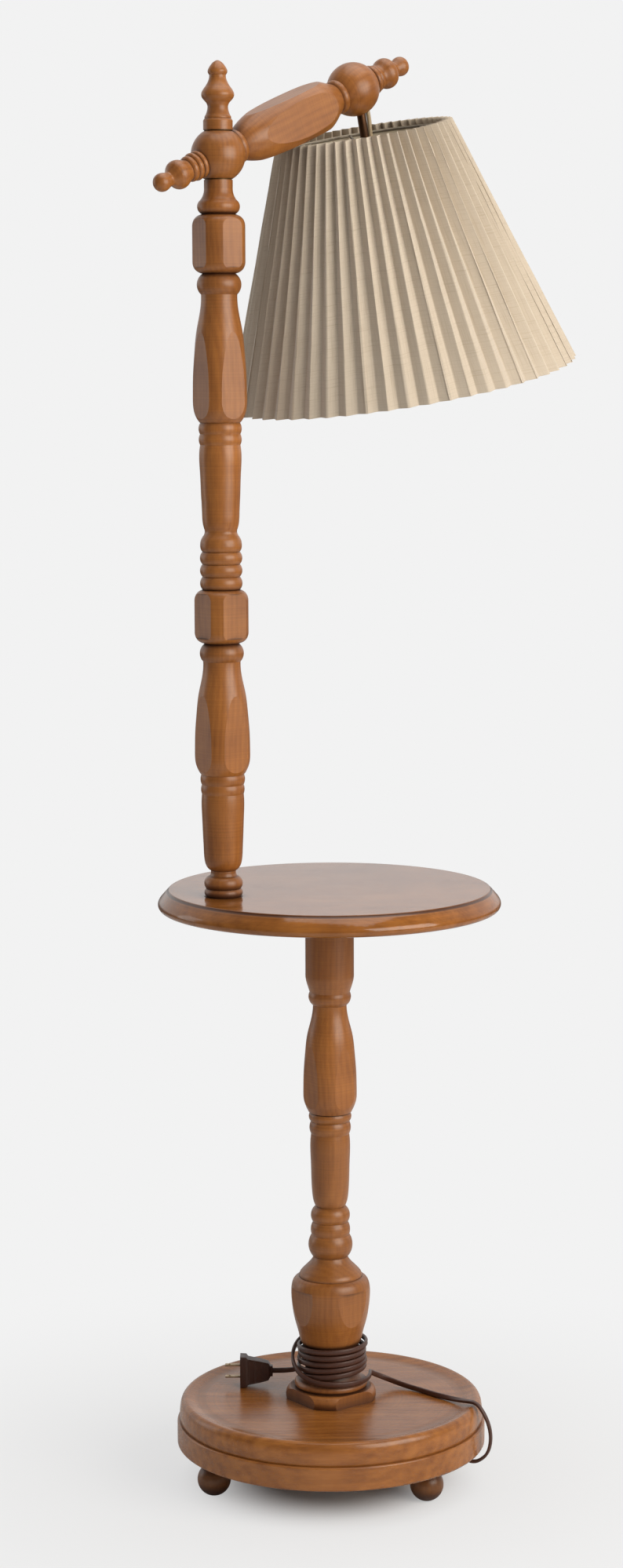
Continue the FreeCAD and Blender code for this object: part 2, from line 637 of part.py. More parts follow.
def table_top():
    """The round top: a shallow step inside a rounded edge, and the lead channel under it."""
    height = TABLE_THICKNESS
    edge = TABLE_RADIUS
    step = TABLE_STEP_RADIUS
    outline = Turning(edge - 6.0, 0)
    outline.curve((edge - 1.4, height * 0.10), (edge, height * 0.24), (edge - 0.9, height * 0.44),
                  (edge - 4.6, height * 0.66), (step + 1.4, height - TABLE_STEP_HEIGHT - 1.2),
                  (step, height - TABLE_STEP_HEIGHT))
    outline.line(step - 0.8, height - 0.5)
    outline.line(step - 1.6, height)
    board = raised(outline.solid(), TABLE_BOTTOM)
    channel = Part.makeBox(COLUMN_OFFSET + WASHER_RADIUS, CHANNEL_WIDTH, CHANNEL_DEPTH,
                           V(-COLUMN_OFFSET - WASHER_RADIUS, -CHANNEL_WIDTH / 2, TABLE_BOTTOM))
    board = board.cut(channel)
    board = board.cut(cylinder(PIPE_RADIUS + 2 * HOLE_GAP, CHANNEL_DEPTH, V(0, 0, TABLE_BOTTOM)))
    nut_room = cylinder(WASHER_RADIUS + HOLE_GAP, COLUMN_WASHER_BOTTOM + WASHER_THICKNESS - TABLE_BOTTOM,
                        COLUMN_AXIS + UP * TABLE_BOTTOM)
    board = board.cut(nut_room)
    board = board.cut(cylinder(PIPE_HOLE_RADIUS, TABLE_THICKNESS, COLUMN_AXIS + UP * TABLE_BOTTOM))
    board = board.cut(cylinder(COLUMN_FOOT_RADIUS + HOLE_GAP, COLUMN_FOOT_SPIGOT,
                               COLUMN_AXIS + UP * (TABLE_TOP - COLUMN_FOOT_SPIGOT)))
    cover_length, cover_start = channel_cover_span()
    rebate = Part.makeBox(cover_length + 2 * HOLE_GAP, CHANNEL_COVER_WIDTH + 2 * HOLE_GAP,
                          CHANNEL_COVER_THICKNESS + SEAT_GAP,
                          V(cover_start - HOLE_GAP, -CHANNEL_COVER_WIDTH / 2 - HOLE_GAP, TABLE_BOTTOM))
    board = board.cut(rebate)
    for place in flange_screw_places() + cover_screw_places():
        board = board.cut(cylinder(SCREW_RADIUS, 12.0, place + UP * TABLE_BOTTOM))
    return board


def channel_cover_span():
    """Length of the channel cover, and where it starts along X."""
    start = -COLUMN_OFFSET - WASHER_RADIUS - 9.0
    return -PEDESTAL_TOP_RADIUS - 1.5 - start, start


def channel_cover():
    """A thin plate that keeps the lead in its channel, under the table."""
    length, start = channel_cover_span()
    plate = Part.makeBox(length, CHANNEL_COVER_WIDTH, CHANNEL_COVER_THICKNESS,
                         V(start, -CHANNEL_COVER_WIDTH / 2, TABLE_BOTTOM))
    for place in cover_screw_places():
        plate = plate.cut(cylinder(SCREW_RADIUS, CHANNEL_COVER_THICKNESS, place + UP * TABLE_BOTTOM))
    return plate


def cover_screw_places():
    length, start = channel_cover_span()
    side = CHANNEL_COVER_WIDTH / 2 - 4.0
    return [V(start + 5.0, 0, 0), V(start + length - 8.0, side, 0), V(start + length - 8.0, -side, 0)]


def flange_screw_places():
    return [heading(45 + 90 * k, FLANGE_SCREW_CIRCLE) for k in range(4)]


def wood_screw(place, head_top, length):
    """A pan head screw going up; its head lies under head_top."""
    head = cylinder(SCREW_HEAD_RADIUS, SCREW_HEAD_HEIGHT, place + UP * (head_top - SCREW_HEAD_HEIGHT))
    return head.fuse(cylinder(SCREW_RADIUS, length, place + UP * head_top)).removeSplitter()


def table_flange():
    """A steel plate screwed under the table and threaded on the pedestal pipe."""
    plate = ring(FLANGE_RADIUS, PIPE_RADIUS, FLANGE_THICKNESS, V(0, 0, TABLE_BOTTOM - FLANGE_THICKNESS))
    for place in flange_screw_places():
        plate = plate.cut(cylinder(SCREW_RADIUS, FLANGE_THICKNESS,
                                   place + UP * (TABLE_BOTTOM - FLANGE_THICKNESS)))
    return plate


def build_table():
    keep("table_top", table_top())
    keep("table_flange", table_flange())
    flange_bottom = TABLE_BOTTOM - FLANGE_THICKNESS
    keep("channel_cover", channel_cover())
    screws = [wood_screw(place, flange_bottom, 13.0) for place in flange_screw_places()]
    screws += [wood_screw(place, TABLE_BOTTOM, 10.0) for place in cover_screw_places()]
    keep("table_screws", *screws)


# ---------------------------------------------------------------- upper column
def column_foot():
    """A shallow spigot let into the table, two beads on it, then a slim neck."""
    radius = COLUMN_FOOT_RADIUS
    neck = COLUMN_FOOT_NECK_RADIUS
    height = COLUMN_FOOT_HEIGHT
    outline = Turning(radius + HOLE_GAP - SEAT_GAP, -COLUMN_FOOT_SPIGOT)
    outline.line(radius + HOLE_GAP - SEAT_GAP, 0)
    outline.line(radius - 2.2, 0)
    outline.bead(radius - 2.0, height * 0.31, radius)
    outline.bead(neck + 1.0, height * 0.80, radius)
    outline.line(neck, height * 0.90)
    outline.line(neck, height)
    return raised(outline.solid(PIPE_HOLE_RADIUS), TABLE_TOP)


def column_spindle():
    """A spindle that swells upwards to two rings."""
    radius = COLUMN_SPINDLE_RADIUS
    height = COLUMN_SPINDLE_HEIGHT
    outline = Turning(COLUMN_FOOT_NECK_RADIUS, 0)
    outline.curve((radius * 0.80, height * 0.05), (radius * 0.885, height * 0.12),
                  (radius * 0.915, height * 0.22), (radius * 0.95, height * 0.40),
                  (radius * 0.98, height * 0.57), (radius, height * 0.70), (radius * 0.975, height * 0.80))
    outline.bead(radius * 0.975, height * 0.895, radius * 1.02)
    outline.bead(radius * 1.0, height, radius * 1.04)
    return raised(outline.solid(PIPE_HOLE_RADIUS), COLUMN_FOOT_TOP)


def column_vase():
    body = vase(COLUMN_VASE_HEIGHT, COLUMN_VASE_RADIUS, COLUMN_VASE_NECK_RADIUS,
                COLUMN_SPINDLE_RADIUS, PIPE_HOLE_RADIUS)
    body = with_flats(body, COLUMN_VASE_RADIUS * VASE_FLAT_SHARE, 0, COLUMN_VASE_HEIGHT)
    return raised(body, COLUMN_SPINDLE_TOP)


def column_block(bead_height, neck, height, radius, share):
    """One turning: a plump bead, then a drum with rounded shoulders and four flats."""
    shoulder = radius * SHOULDER_SHARE
    corner = height * 0.2
    top = bead_height + height
    outline = Turning(neck, 0)
    outline.bead(shoulder, bead_height, COLUMN_BEAD_RADIUS)
    outline.curve((radius * 0.92, bead_height + corner * 0.4), (radius, bead_height + corner))
    outline.line(radius, top - corner)
    outline.curve((radius * 0.92, top - corner * 0.4), (shoulder, top))
    body = outline.solid(PIPE_HOLE_RADIUS)
    return with_flats(body, radius * share, bead_height + height * 0.10, top - height * 0.07)


def ring_stack():
    """Three rings under a small cone with a slim throat."""
    radius = RING_RADIUS
    height = RING_STACK_HEIGHT
    third = height * 0.21
    outline = Turning(radius * 0.92, 0)
    for number in range(3):
        outline.bead(radius * 0.90, third * (number + 1), radius * 1.02)
    outline.curve((radius * 0.99, height * 0.69), (radius * 1.0, height * 0.76),
                  (radius * 0.95, height * 0.84), (radius * 0.80, height * 0.93), (RING_NECK_RADIUS, height))
    return raised(outline.solid(PIPE_HOLE_RADIUS), COLUMN_BLOCK_TOP)


def upper_spindle():
    """A spindle that swells upwards from the throat to two beads."""
    radius = UPPER_SPINDLE_RADIUS
    height = UPPER_SPINDLE_HEIGHT
    outline = Turning(RING_NECK_RADIUS, 0)
    outline.curve((radius * 0.86, height * 0.065), (radius * 0.89, height * 0.16),
                  (radius * 0.93, height * 0.33), (radius * 0.965, height * 0.52),
                  (radius, height * 0.70), (radius * 0.955, height * 0.794))
    outline.bead(radius * 0.955, height * 0.895, radius * 1.015)
    outline.bead(radius * 0.94, height, radius * 1.02)
    return raised(outline.solid(PIPE_HOLE_RADIUS), RING_STACK_TOP)


def upper_vase():
    body = vase(UPPER_VASE_HEIGHT, UPPER_VASE_RADIUS, UPPER_VASE_NECK_RADIUS,
                UPPER_SPINDLE_RADIUS * 0.95, PIPE_HOLE_RADIUS)
    body = with_flats(body, UPPER_VASE_RADIUS * VASE_FLAT_SHARE, 0, UPPER_VASE_HEIGHT)
    return raised(body, UPPER_SPINDLE_TOP)


def column_cap():
    """A bead under a small cone that carries the swivel; a pin stands on it."""
    radius = COLUMN_CAP_RADIUS
    height = COLUMN_CAP_HEIGHT
    outline = Turning(UPPER_BLOCK_RADIUS * SHOULDER_SHARE, 0)
    outline.bead(radius * 0.92, height * 0.38, radius * 1.01)
    outline.curve((radius * 0.80, height * 0.47), (COLUMN_CAP_TOP_RADIUS * 1.05, height * 0.59),
                  (COLUMN_CAP_TOP_RADIUS, height * 0.8))
    outline.line(COLUMN_CAP_TOP_RADIUS, height)
    body = outline.solid(PIPE_HOLE_RADIUS)
    pin_hole = cylinder(STOP_PIN_RADIUS, STOP_PIN_HEIGHT, stop_pin_place() + UP * (height - STOP_PIN_HEIGHT))
    return raised(body.cut(pin_hole), UPPER_BLOCK_TOP)


def stop_pin_place():
    """The pin stands opposite the arm, so that the arm turns as far each way."""
    return heading(ARM_HEADING + 180, STOP_PIN_CIRCLE)


def swivel_washer(low):
    """A washer under or over the ball, holed for the stop pin."""
    washer = ring(SWIVEL_WASHER_RADIUS, PIPE_HOLE_RADIUS, SWIVEL_WASHER_THICKNESS, V(0, 0, low))
    return washer.cut(cylinder(STOP_PIN_RADIUS, SWIVEL_WASHER_THICKNESS, stop_pin_place() + UP * low))


def column_pipe():
    """A threaded pipe from under the table into the finial, slotted inside the ball."""
    low = COLUMN_WASHER_BOTTOM - NUT_THICKNESS - 0.6
    high = FINIAL_BOTTOM + FINIAL_SOCKET_DEPTH - 2.0
    pipe = ring(PIPE_RADIUS, PIPE_BORE_RADIUS, high - low, V(0, 0, low))
    window = lead_channel(2 * LEAD_HOLE_RADIUS, SWIVEL_HEIGHT - 7.0, 0, 2 * PIPE_RADIUS, 14.0, ARM_HEADING)
    return pipe.cut(window)


def top_finial():
    """The turned finial that holds the ball down."""
    radius = FINIAL_RADIUS
    foot = FINIAL_FOOT_RADIUS
    height = FINIAL_HEIGHT
    outline = Turning(foot, 0)
    outline.line(foot, height * 0.115)
    outline.bead(foot * 0.89, height * 0.165, foot * 0.99)
    outline.bead(foot * 0.83, height * 0.215, foot * 0.90)
    outline.curve((foot * 0.755, height * 0.26), (foot * 0.70, height * 0.315), (foot * 0.70, height * 0.345),
                  (radius * 0.70, height * 0.39), (radius * 0.90, height * 0.445), (radius, height * 0.50),
                  (radius * 0.94, height * 0.56), (radius * 0.74, height * 0.63),
                  (radius * 0.58, height * 0.70), (radius * 0.51, height * 0.755))
    outline.line(radius * 0.505, height * 0.79)
    outline.curve((radius * 0.575, height * 0.815), (radius * 0.60, height * 0.845),
                  (radius * 0.55, height * 0.88), (radius * 0.42, height * 0.93),
                  (radius * 0.24, height * 0.975), (radius * 0.02, height))
    socket = cylinder(PIPE_RADIUS, FINIAL_SOCKET_DEPTH)
    return raised(outline.solid().cut(socket), FINIAL_BOTTOM)


def build_column():
    keep("column_foot", on_column(column_foot()))
    keep("column_spindle", on_column(column_spindle()))
    keep("column_vase", on_column(column_vase()))
    lower = column_block(COLUMN_BLOCK_BEAD_HEIGHT, COLUMN_VASE_NECK_RADIUS, COLUMN_BLOCK_HEIGHT,
                         COLUMN_BLOCK_RADIUS, VASE_FLAT_SHARE)
    keep("column_block", on_column(raised(lower, COLUMN_VASE_TOP)))
    keep("column_rings", on_column(ring_stack()))
    keep("upper_spindle", on_column(upper_spindle()))
    keep("upper_vase", on_column(upper_vase()))
    upper = column_block(UPPER_BLOCK_BEAD_HEIGHT, UPPER_VASE_NECK_RADIUS, UPPER_BLOCK_HEIGHT,
                         UPPER_BLOCK_RADIUS, BLOCK_FLAT_SHARE)
    keep("upper_block", on_column(raised(upper, UPPER_VASE_TOP)))
    keep("column_cap", on_column(column_cap()))
    keep("column_pipe", on_column(column_pipe()))
    keep("pipe_nuts", *pipe_nuts())
    keep("swivel_washers", on_column(swivel_washer(COLUMN_CAP_TOP)),
         on_column(ring(SWIVEL_WASHER_RADIUS, PIPE_HOLE_RADIUS, SWIVEL_WASHER_THICKNESS,
                        V(0, 0, FINIAL_BOTTOM - SWIVEL_WASHER_THICKNESS))))
    pin = cylinder(STOP_PIN_RADIUS, 2 * STOP_PIN_HEIGHT, stop_pin_place()
                   + UP * (COLUMN_CAP_TOP - STOP_PIN_HEIGHT))
    keep("stop_pin", on_column(pin))
    keep("top_finial", on_column(top_finial()))


# ---------------------------------------------------------------- arm
def on_arm(shape, distance=0.0, backwards=False):
    """Put a turning on the arm's axis, this far from the swivel centre."""
    direction = ARM_DIRECTION * (-1 if backwards else 1)
    return placed_along(shape, SWIVEL_CENTRE + ARM_DIRECTION * distance, direction)


BALL_SEAT = BALL_RADIUS + SEAT_GAP
CHAMBER_RADIUS = 10.0
CHAMBER_HEIGHT = 16.0


def swivel_ball():
    """The ball that turns on the column pipe, with the arm and a knob in its sides."""
    ball = Part.makeSphere(BALL_RADIUS, V(0, 0, 0))
    slab = Part.makeBox(4 * BALL_RADIUS, 4 * BALL_RADIUS, 2 * BALL_FLAT_HEIGHT,
                        V(-2 * BALL_RADIUS, -2 * BALL_RADIUS, -BALL_FLAT_HEIGHT))
    ball = ball.common(slab)
    ball = ball.cut(cylinder(PIPE_RADIUS + RUNNING_GAP, 2 * BALL_RADIUS, V(0, 0, -BALL_RADIUS)))
    ball = ball.cut(cylinder(CHAMBER_RADIUS, CHAMBER_HEIGHT, V(0, 0, -CHAMBER_HEIGHT / 2)))
    ball = ball.cut(stop_groove())
    ball.translate(SWIVEL_CENTRE)
    ball = ball.cut(on_arm(cylinder(PIPE_RADIUS, BALL_RADIUS), CHAMBER_RADIUS))
    return ball.cut(on_arm(cylinder(KNOB_TENON_RADIUS, KNOB_TENON_LENGTH),
                           KNOB_TENON_LENGTH - BALL_RADIUS, True))


def stop_groove():
    """The curved groove under the ball, in which the stop pin runs."""
    depth = STOP_PIN_HEIGHT - SWIVEL_WASHER_THICKNESS + STOP_GROOVE_GAP
    half_width = STOP_PIN_RADIUS + STOP_GROOVE_GAP
    pin_half_angle = math.degrees(math.asin(half_width / STOP_PIN_CIRCLE))
    sweep = STOP_HALF_ANGLE + pin_half_angle
    low = V(0, 0, -BALL_FLAT_HEIGHT)
    outer = Part.makeCylinder(STOP_PIN_CIRCLE + half_width, depth, low, UP, 2 * sweep)
    inner = Part.makeCylinder(STOP_PIN_CIRCLE - half_width, depth, low, UP, 2 * sweep)
    groove = outer.cut(inner)
    groove.rotate(V(0, 0, 0), UP, ARM_HEADING + 180 - sweep)
    return groove


def arm_body():
    """The swelling arm between its two rings, with four big oval flats."""
    radius = ARM_RADIUS
    ring_radius = ARM_RING_RADIUS
    start = math.sqrt(BALL_RADIUS ** 2 - ring_radius ** 2) - 1.5
    body = ARM_SPAN - 2 * (start + ARM_RING_WIDTH)
    first = start + ARM_RING_WIDTH
    outline = Turning(ring_radius - 2.0, start)
    outline.bead(ring_radius - 2.4, first, ring_radius)
    outline.curve((ring_radius, first + body * 0.035), (radius * 0.80, first + body * 0.16),
                  (radius * 0.93, first + body * 0.32), (radius, first + body * 0.52),
                  (radius * 0.985, first + body * 0.68), (radius * 0.88, first + body * 0.84),
                  (ring_radius, first + body * 0.965), (ring_radius - 2.4, first + body))
    outline.bead(ring_radius - 2.0, ARM_SPAN - start, ring_radius)
    turned = outline.solid(PIPE_RADIUS + SEAT_GAP)
    turned = with_flats(turned, radius * ARM_FLAT_SHARE, first + 2, ARM_SPAN - first - 2, 0)
    arm = on_arm(turned)
    arm = arm.cut(Part.makeSphere(BALL_SEAT, SWIVEL_CENTRE))
    arm = arm.cut(cylinder(FINIAL_FOOT_RADIUS + FINIAL_RELIEF, ARM_RADIUS, COLUMN_AXIS + UP * BALL_TOP))
    return arm.cut(Part.makeSphere(BALL_SEAT, TIP_CENTRE))


def knob_outline(start, first_bead_end, share=1.0):
    """Outline of a turned knob: beads that get smaller towards its button."""
    bead = KNOB_BEAD_RADIUS * share
    button = KNOB_BUTTON_RADIUS * share
    outline = Turning(KNOB_TENON_RADIUS - SEAT_GAP, BALL_RADIUS - KNOB_TENON_LENGTH + SEAT_GAP)
    outline.line(KNOB_TENON_RADIUS - SEAT_GAP, start)
    outline.line(bead * 0.86, start)
    outline.bead(bead * 0.84, first_bead_end, bead * 0.97)
    return outline, bead, button


def finish_knob(outline, bead, button, start, neck=0.0):
    """Add the neck, the main bead, the throat and the button."""
    if neck:
        outline.bead(bead * 0.76, start + neck, bead * 0.86)
        start += neck
    outline.curve((bead * 0.78, start + 2.5), (bead * 0.93, start + 7.0), (bead, start + 11.5),
                  (bead * 0.92, start + 16.5), (bead * 0.66, start + 20.5), (bead * 0.50, start + 23.5))
    outline.line(bead * 0.50, start + 25.0)
    outline.curve((button * 0.88, start + 28.0), (button, start + 33.0), (button * 0.86, start + 38.0),
                  (button * 0.45, start + 41.3), (button * 0.03, start + 42.2))
    return outline.solid()


def tail_knob():
    """The knob behind the swivel ball, with two collar rings."""
    start = BALL_RADIUS - 3.5
    outline, bead, button = knob_outline(start, start + 6.0)
    outline.bead(COLLAR_RADIUS * 0.86, start + 6.0 + COLLAR_LENGTH / 2, COLLAR_RADIUS)
    outline.bead(bead * 0.74, start + 6.0 + COLLAR_LENGTH, COLLAR_RADIUS * 0.92)
    knob = finish_knob(outline, bead, button, start + 6.0 + COLLAR_LENGTH)
    knob = placed_along(knob, SWIVEL_CENTRE, ARM_DIRECTION * -1)
    tenon = placed_along(cylinder(KNOB_TENON_RADIUS - SEAT_GAP, BALL_RADIUS), SWIVEL_CENTRE,
                         ARM_DIRECTION * -1)
    return seated_on_ball(knob, SWIVEL_CENTRE, tenon)


def tip_knob():
    """The knob at the arm's tip."""
    start = BALL_RADIUS - 3.5
    outline, bead, button = knob_outline(start, start + 6.5, TIP_KNOB_SHARE)
    knob = finish_knob(outline, bead, button, start + 6.5, TIP_KNOB_NECK)
    knob = placed_along(knob, TIP_CENTRE, ARM_DIRECTION)
    tenon = placed_along(cylinder(KNOB_TENON_RADIUS - SEAT_GAP, BALL_RADIUS), TIP_CENTRE, ARM_DIRECTION)
    return seated_on_ball(knob, TIP_CENTRE, tenon)


def seated_on_ball(knob, centre, tenon):
    """Hollow a knob's foot to the ball, and leave its tenon."""
    ball = Part.makeSphere(BALL_SEAT, centre).cut(tenon)
    return knob.cut(ball)


def tip_ball():
    """The ball at the arm's tip: pipe, knob, stem and lead all meet in it."""
    ball = Part.makeSphere(BALL_RADIUS, TIP_CENTRE)
    ball = ball.cut(placed_along(cylinder(PIPE_RADIUS, BALL_RADIUS), TIP_CENTRE - ARM_DIRECTION * 8.0,
                                 ARM_DIRECTION * -1))
    ball = ball.cut(placed_along(cylinder(KNOB_TENON_RADIUS, KNOB_TENON_LENGTH),
                                 TIP_CENTRE + ARM_DIRECTION * (BALL_RADIUS - KNOB_TENON_LENGTH),
                                 ARM_DIRECTION))
    ball = ball.cut(cylinder(STEM_RADIUS, BALL_RADIUS, SHADE_ORIGIN + SHADE_DOWN * STEM_TOP_DEPTH,
                             SHADE_DOWN))
    return ball.cut(tube_along(upper_lead_points(), upper_lead_bends(), LEAD_HOLE_RADIUS))


def upper_lead_points():
    """Corners of the lead's route: along the arm, then down beside the stem into the lamp holder."""
    offset = SHADE_OFFSET + STEM_RADIUS + LEAD_RADIUS + 1.2
    crossing = TIP_CENTRE + ARM_DIRECTION * (offset / ARM_DIRECTION.dot(BESIDE))
    return [SWIVEL_CENTRE + ARM_DIRECTION * (PIPE_RADIUS + 2.0), crossing,
            TIP_CENTRE + BESIDE * (offset + 1.4) + SHADE_DOWN * (BALL_RADIUS + 6.0),
            TIP_CENTRE + BESIDE * (offset - 0.8) + SHADE_DOWN * (SOCKET_TOP + CAP_THROAT + 4.0)]


def upper_lead_bends():
    return [9.0, 60.0]


def tube_along(points, bends, radius):
    """A round tube along straight runs joined by tangent arcs of the given radii."""
    wire = rounded_wire(points, bends)
    first = wire.OrderedEdges[0]
    start = first.valueAt(first.FirstParameter)
    tangent = (points[1] - points[0]).normalize()
    circle = Part.Wire(Part.Circle(start, tangent, radius).toShape())
    return wire.makePipeShell([circle], True, False)


def rounded_wire(points, bends):
    """Straight runs through these corners, with an arc of its own radius at each bend."""
    edges = []
    here = points[0]
    for index in range(1, len(points) - 1):
        corner = points[index]
        before = (points[index - 1] - corner).normalize()
        after = (points[index + 1] - corner).normalize()
        half = math.acos(max(-1.0, min(1.0, before.dot(after)))) / 2
        reach = bends[index - 1] / math.tan(half)
        centre_line = (before + after).normalize()
        enter = corner + before * reach
        leave = corner + after * reach
        middle = corner + centre_line * (bends[index - 1] / math.sin(half) - bends[index - 1])
        if (enter - here).Length > 1e-6:
            edges.append(Part.LineSegment(here, enter).toShape())
        edges.append(Part.Arc(enter, middle, leave).toShape())
        here = leave
    edges.append(Part.LineSegment(here, points[-1]).toShape())
    return Part.Wire(edges)


def arm_pipe():
    """The threaded pipe inside the arm, from one ball to the other."""
    start = CHAMBER_RADIUS
    stop = ARM_SPAN - 8.0
    return on_arm(ring(PIPE_RADIUS, PIPE_BORE_RADIUS, stop - start), start)


def build_arm():
    keep("swivel_ball", swivel_ball())
    keep("arm_body", arm_body())
    keep("arm_pipe", arm_pipe())
    keep("tip_ball", tip_ball())
    keep("tail_knob", tail_knob())
    keep("tip_knob", tip_knob())


# ---------------------------------------------------------------- lamp holder
def on_shade(shape, distance):
    """Put a shape on the shade's axis, this far below the tip ball's centre."""
    return placed_along(shape, SHADE_ORIGIN + SHADE_DOWN * distance, SHADE_DOWN)


SOCKET_TOP = SHADE_DROP + SOCKET_RECESS
HUB_TOP = SOCKET_TOP + SOCKET_SHOULDER + FACE_GAP
HUB_BOTTOM = HUB_TOP + SPIDER_THICKNESS
CAP_THROAT = 3.0            # solid top of the socket cap, threaded on the stem
SHELL_TOP = SOCKET_TOP + SOCKET_CAP_HEIGHT - 4.0
KEY_LEVEL = SHELL_TOP + 8.0


def stem():
    """The bronzed pipe that hangs the lamp holder from the ball."""
    length = SOCKET_TOP + CAP_THROAT - STEM_TOP_DEPTH
    return on_shade(ring(STEM_RADIUS, PIPE_BORE_RADIUS - 0.8, length), STEM_TOP_DEPTH)


def retaining_ring():
    """The ring screwed on the cap, which keeps the shade's hub up against the shoulder."""
    inner = SOCKET_CAP_RADIUS
    return on_shade(ring(inner + RETAINING_RING_WIDTH, inner, RETAINING_RING_HEIGHT), HUB_BOTTOM + FACE_GAP)


def socket_cap():
    """The cup that carries the lamp holder, with a shoulder over the shade's hub."""
    outline = Turning(STEM_RADIUS + 3.0, 0)
    outline.curve((SOCKET_CAP_RADIUS * 0.80, 4.0), (SOCKET_CAP_RADIUS, SOCKET_SHOULDER - SHOULDER_THICKNESS))
    outline.line(SOCKET_CAP_RADIUS + SHOULDER_WIDTH, SOCKET_SHOULDER - SHOULDER_THICKNESS)
    outline.line(SOCKET_CAP_RADIUS + SHOULDER_WIDTH, SOCKET_SHOULDER)
    outline.line(SOCKET_CAP_RADIUS, SOCKET_SHOULDER)
    outline.line(SOCKET_CAP_RADIUS, SOCKET_CAP_HEIGHT)
    cap = outline.solid(STEM_RADIUS)
    wall = SOCKET_WALL
    room = Turning(STEM_RADIUS + 3.0, CAP_THROAT)
    room.curve((SOCKET_CAP_RADIUS * 0.80 - wall, 5.5), (SOCKET_CAP_RADIUS - wall, SOCKET_SHOULDER))
    room.line(SOCKET_CAP_RADIUS - wall, SOCKET_CAP_HEIGHT + 1.0)
    cap = on_shade(cap.cut(room.solid()), SOCKET_TOP)
    return cap.cut(tube_along(upper_lead_points(), upper_lead_bends(), LEAD_HOLE_RADIUS))


def socket_shell():
    """The brass shell round the lamp holder, slotted for the switch key."""
    outer = SOCKET_CAP_RADIUS - SOCKET_WALL - SEAT_GAP
    shell = ring(outer, outer - SOCKET_WALL, SOCKET_SHELL_LENGTH)
    shell = on_shade(shell, SHELL_TOP)
    return shell.cut(key_hole(KEY_STEM_RADIUS + 1.0))


def key_hole(radius):
    """The key's way through the side of the lamp holder."""
    start = SHADE_ORIGIN + SHADE_DOWN * KEY_LEVEL
    return cylinder(radius, 2 * SOCKET_CAP_RADIUS, start, ARM_SIDE * -1)


def socket_liner():
    """The paper sleeve between the shell and the core."""
    outer = SOCKET_CAP_RADIUS - 2 * SOCKET_WALL - 2 * SEAT_GAP
    sleeve = on_shade(ring(outer, outer - 0.7, SOCKET_SHELL_LENGTH), SHELL_TOP)
    return sleeve.cut(key_hole(KEY_STEM_RADIUS + 1.0))


def socket_core():
    """The moulded core with its screwed throat."""
    core = cylinder(SOCKET_CORE_RADIUS, SOCKET_SHELL_LENGTH - 2.0)
    throat = cylinder(BULB_CAP_RADIUS + 0.5, SOCKET_SHELL_LENGTH - 14.0, V(0, 0, 14.0))
    core = on_shade(core.cut(throat), SHELL_TOP)
    return core.cut(key_hole(KEY_STEM_RADIUS + RUNNING_GAP))


def switch_key():
    """The turn key: a thin stem and a flat oval handle."""
    start = SHADE_ORIGIN + SHADE_DOWN * KEY_LEVEL
    side = ARM_SIDE * -1
    reach = SOCKET_CAP_RADIUS + KEY_LENGTH
    rod = cylinder(KEY_STEM_RADIUS, reach - KEY_HANDLE_RADIUS - 5.0, start + side * 5.0, side)
    handle = Part.makeCylinder(KEY_HANDLE_RADIUS, 2.4, V(0, 0, -1.2))
    handle = placed_along(handle, start + side * (reach - KEY_HANDLE_RADIUS), ARM_LEVEL)
    return rod.fuse(handle).removeSplitter()


def bulb():
    """A pear-shaped bulb, its glass and its screwed cap apart."""
    top = SHELL_TOP + 14.0 + 1.0
    cap = on_shade(cylinder(BULB_CAP_RADIUS, BULB_CAP_LENGTH), top)
    length = BULB_LENGTH
    outline = Turning(BULB_CAP_RADIUS - 0.6, 0)
    outline.curve((BULB_CAP_RADIUS + 0.8, length * 0.10), (BULB_RADIUS * 0.70, length * 0.28),
                  (BULB_RADIUS * 0.97, length * 0.52), (BULB_RADIUS, length * 0.64),
                  (BULB_RADIUS * 0.90, length * 0.82), (BULB_RADIUS * 0.55, length * 0.95),
                  (BULB_RADIUS * 0.03, length))
    glass = on_shade(outline.solid(), top + BULB_CAP_LENGTH)
    return glass, cap


def upper_lead():
    return tube_along(upper_lead_points(), upper_lead_bends(), LEAD_RADIUS)


def build_lamp_holder():
    keep("shade_stem", stem())
    keep("retaining_ring", retaining_ring())
    keep("socket_cap", socket_cap())
    keep("socket_shell", socket_shell())
    keep("socket_liner", socket_liner())
    keep("socket_core", socket_core())
    keep("switch_key", switch_key())
    glass, cap = bulb()
    keep("bulb_glass", glass)
    keep("bulb_cap", cap)
    keep("upper_lead", upper_lead())


# ---------------------------------------------------------------- shade
def pleat_depth(radius):
    """How deep the folds stand where their tips lie on this radius."""
    half_pitch = radius * math.sin(math.pi / PLEAT_COUNT)
    return math.sqrt(max(PLEAT_PANEL_WIDTH ** 2 - half_pitch ** 2, 1.0))


def inner_radius(tip_radius):
    return tip_radius - pleat_depth(tip_radius) - PLEAT_CLOTH_THICKNESS


LINER_TOP_RADIUS = inner_radius(SHADE_TOP_RADIUS) - LINER_GAP
LINER_BOTTOM_RADIUS = inner_radius(SHADE_BOTTOM_RADIUS) - LINER_GAP


def zigzag(tip_radius, root_radius, height, shift):
    """A closed polygon of folds, moved inwards by shift."""
    corners = []
    for number in range(2 * PLEAT_COUNT + 1):
        radius = (tip_radius if number % 2 == 0 else root_radius) - shift
        corners.append(heading(180.0 * number / PLEAT_COUNT, radius) + UP * height)
    return Part.makePolygon(corners)


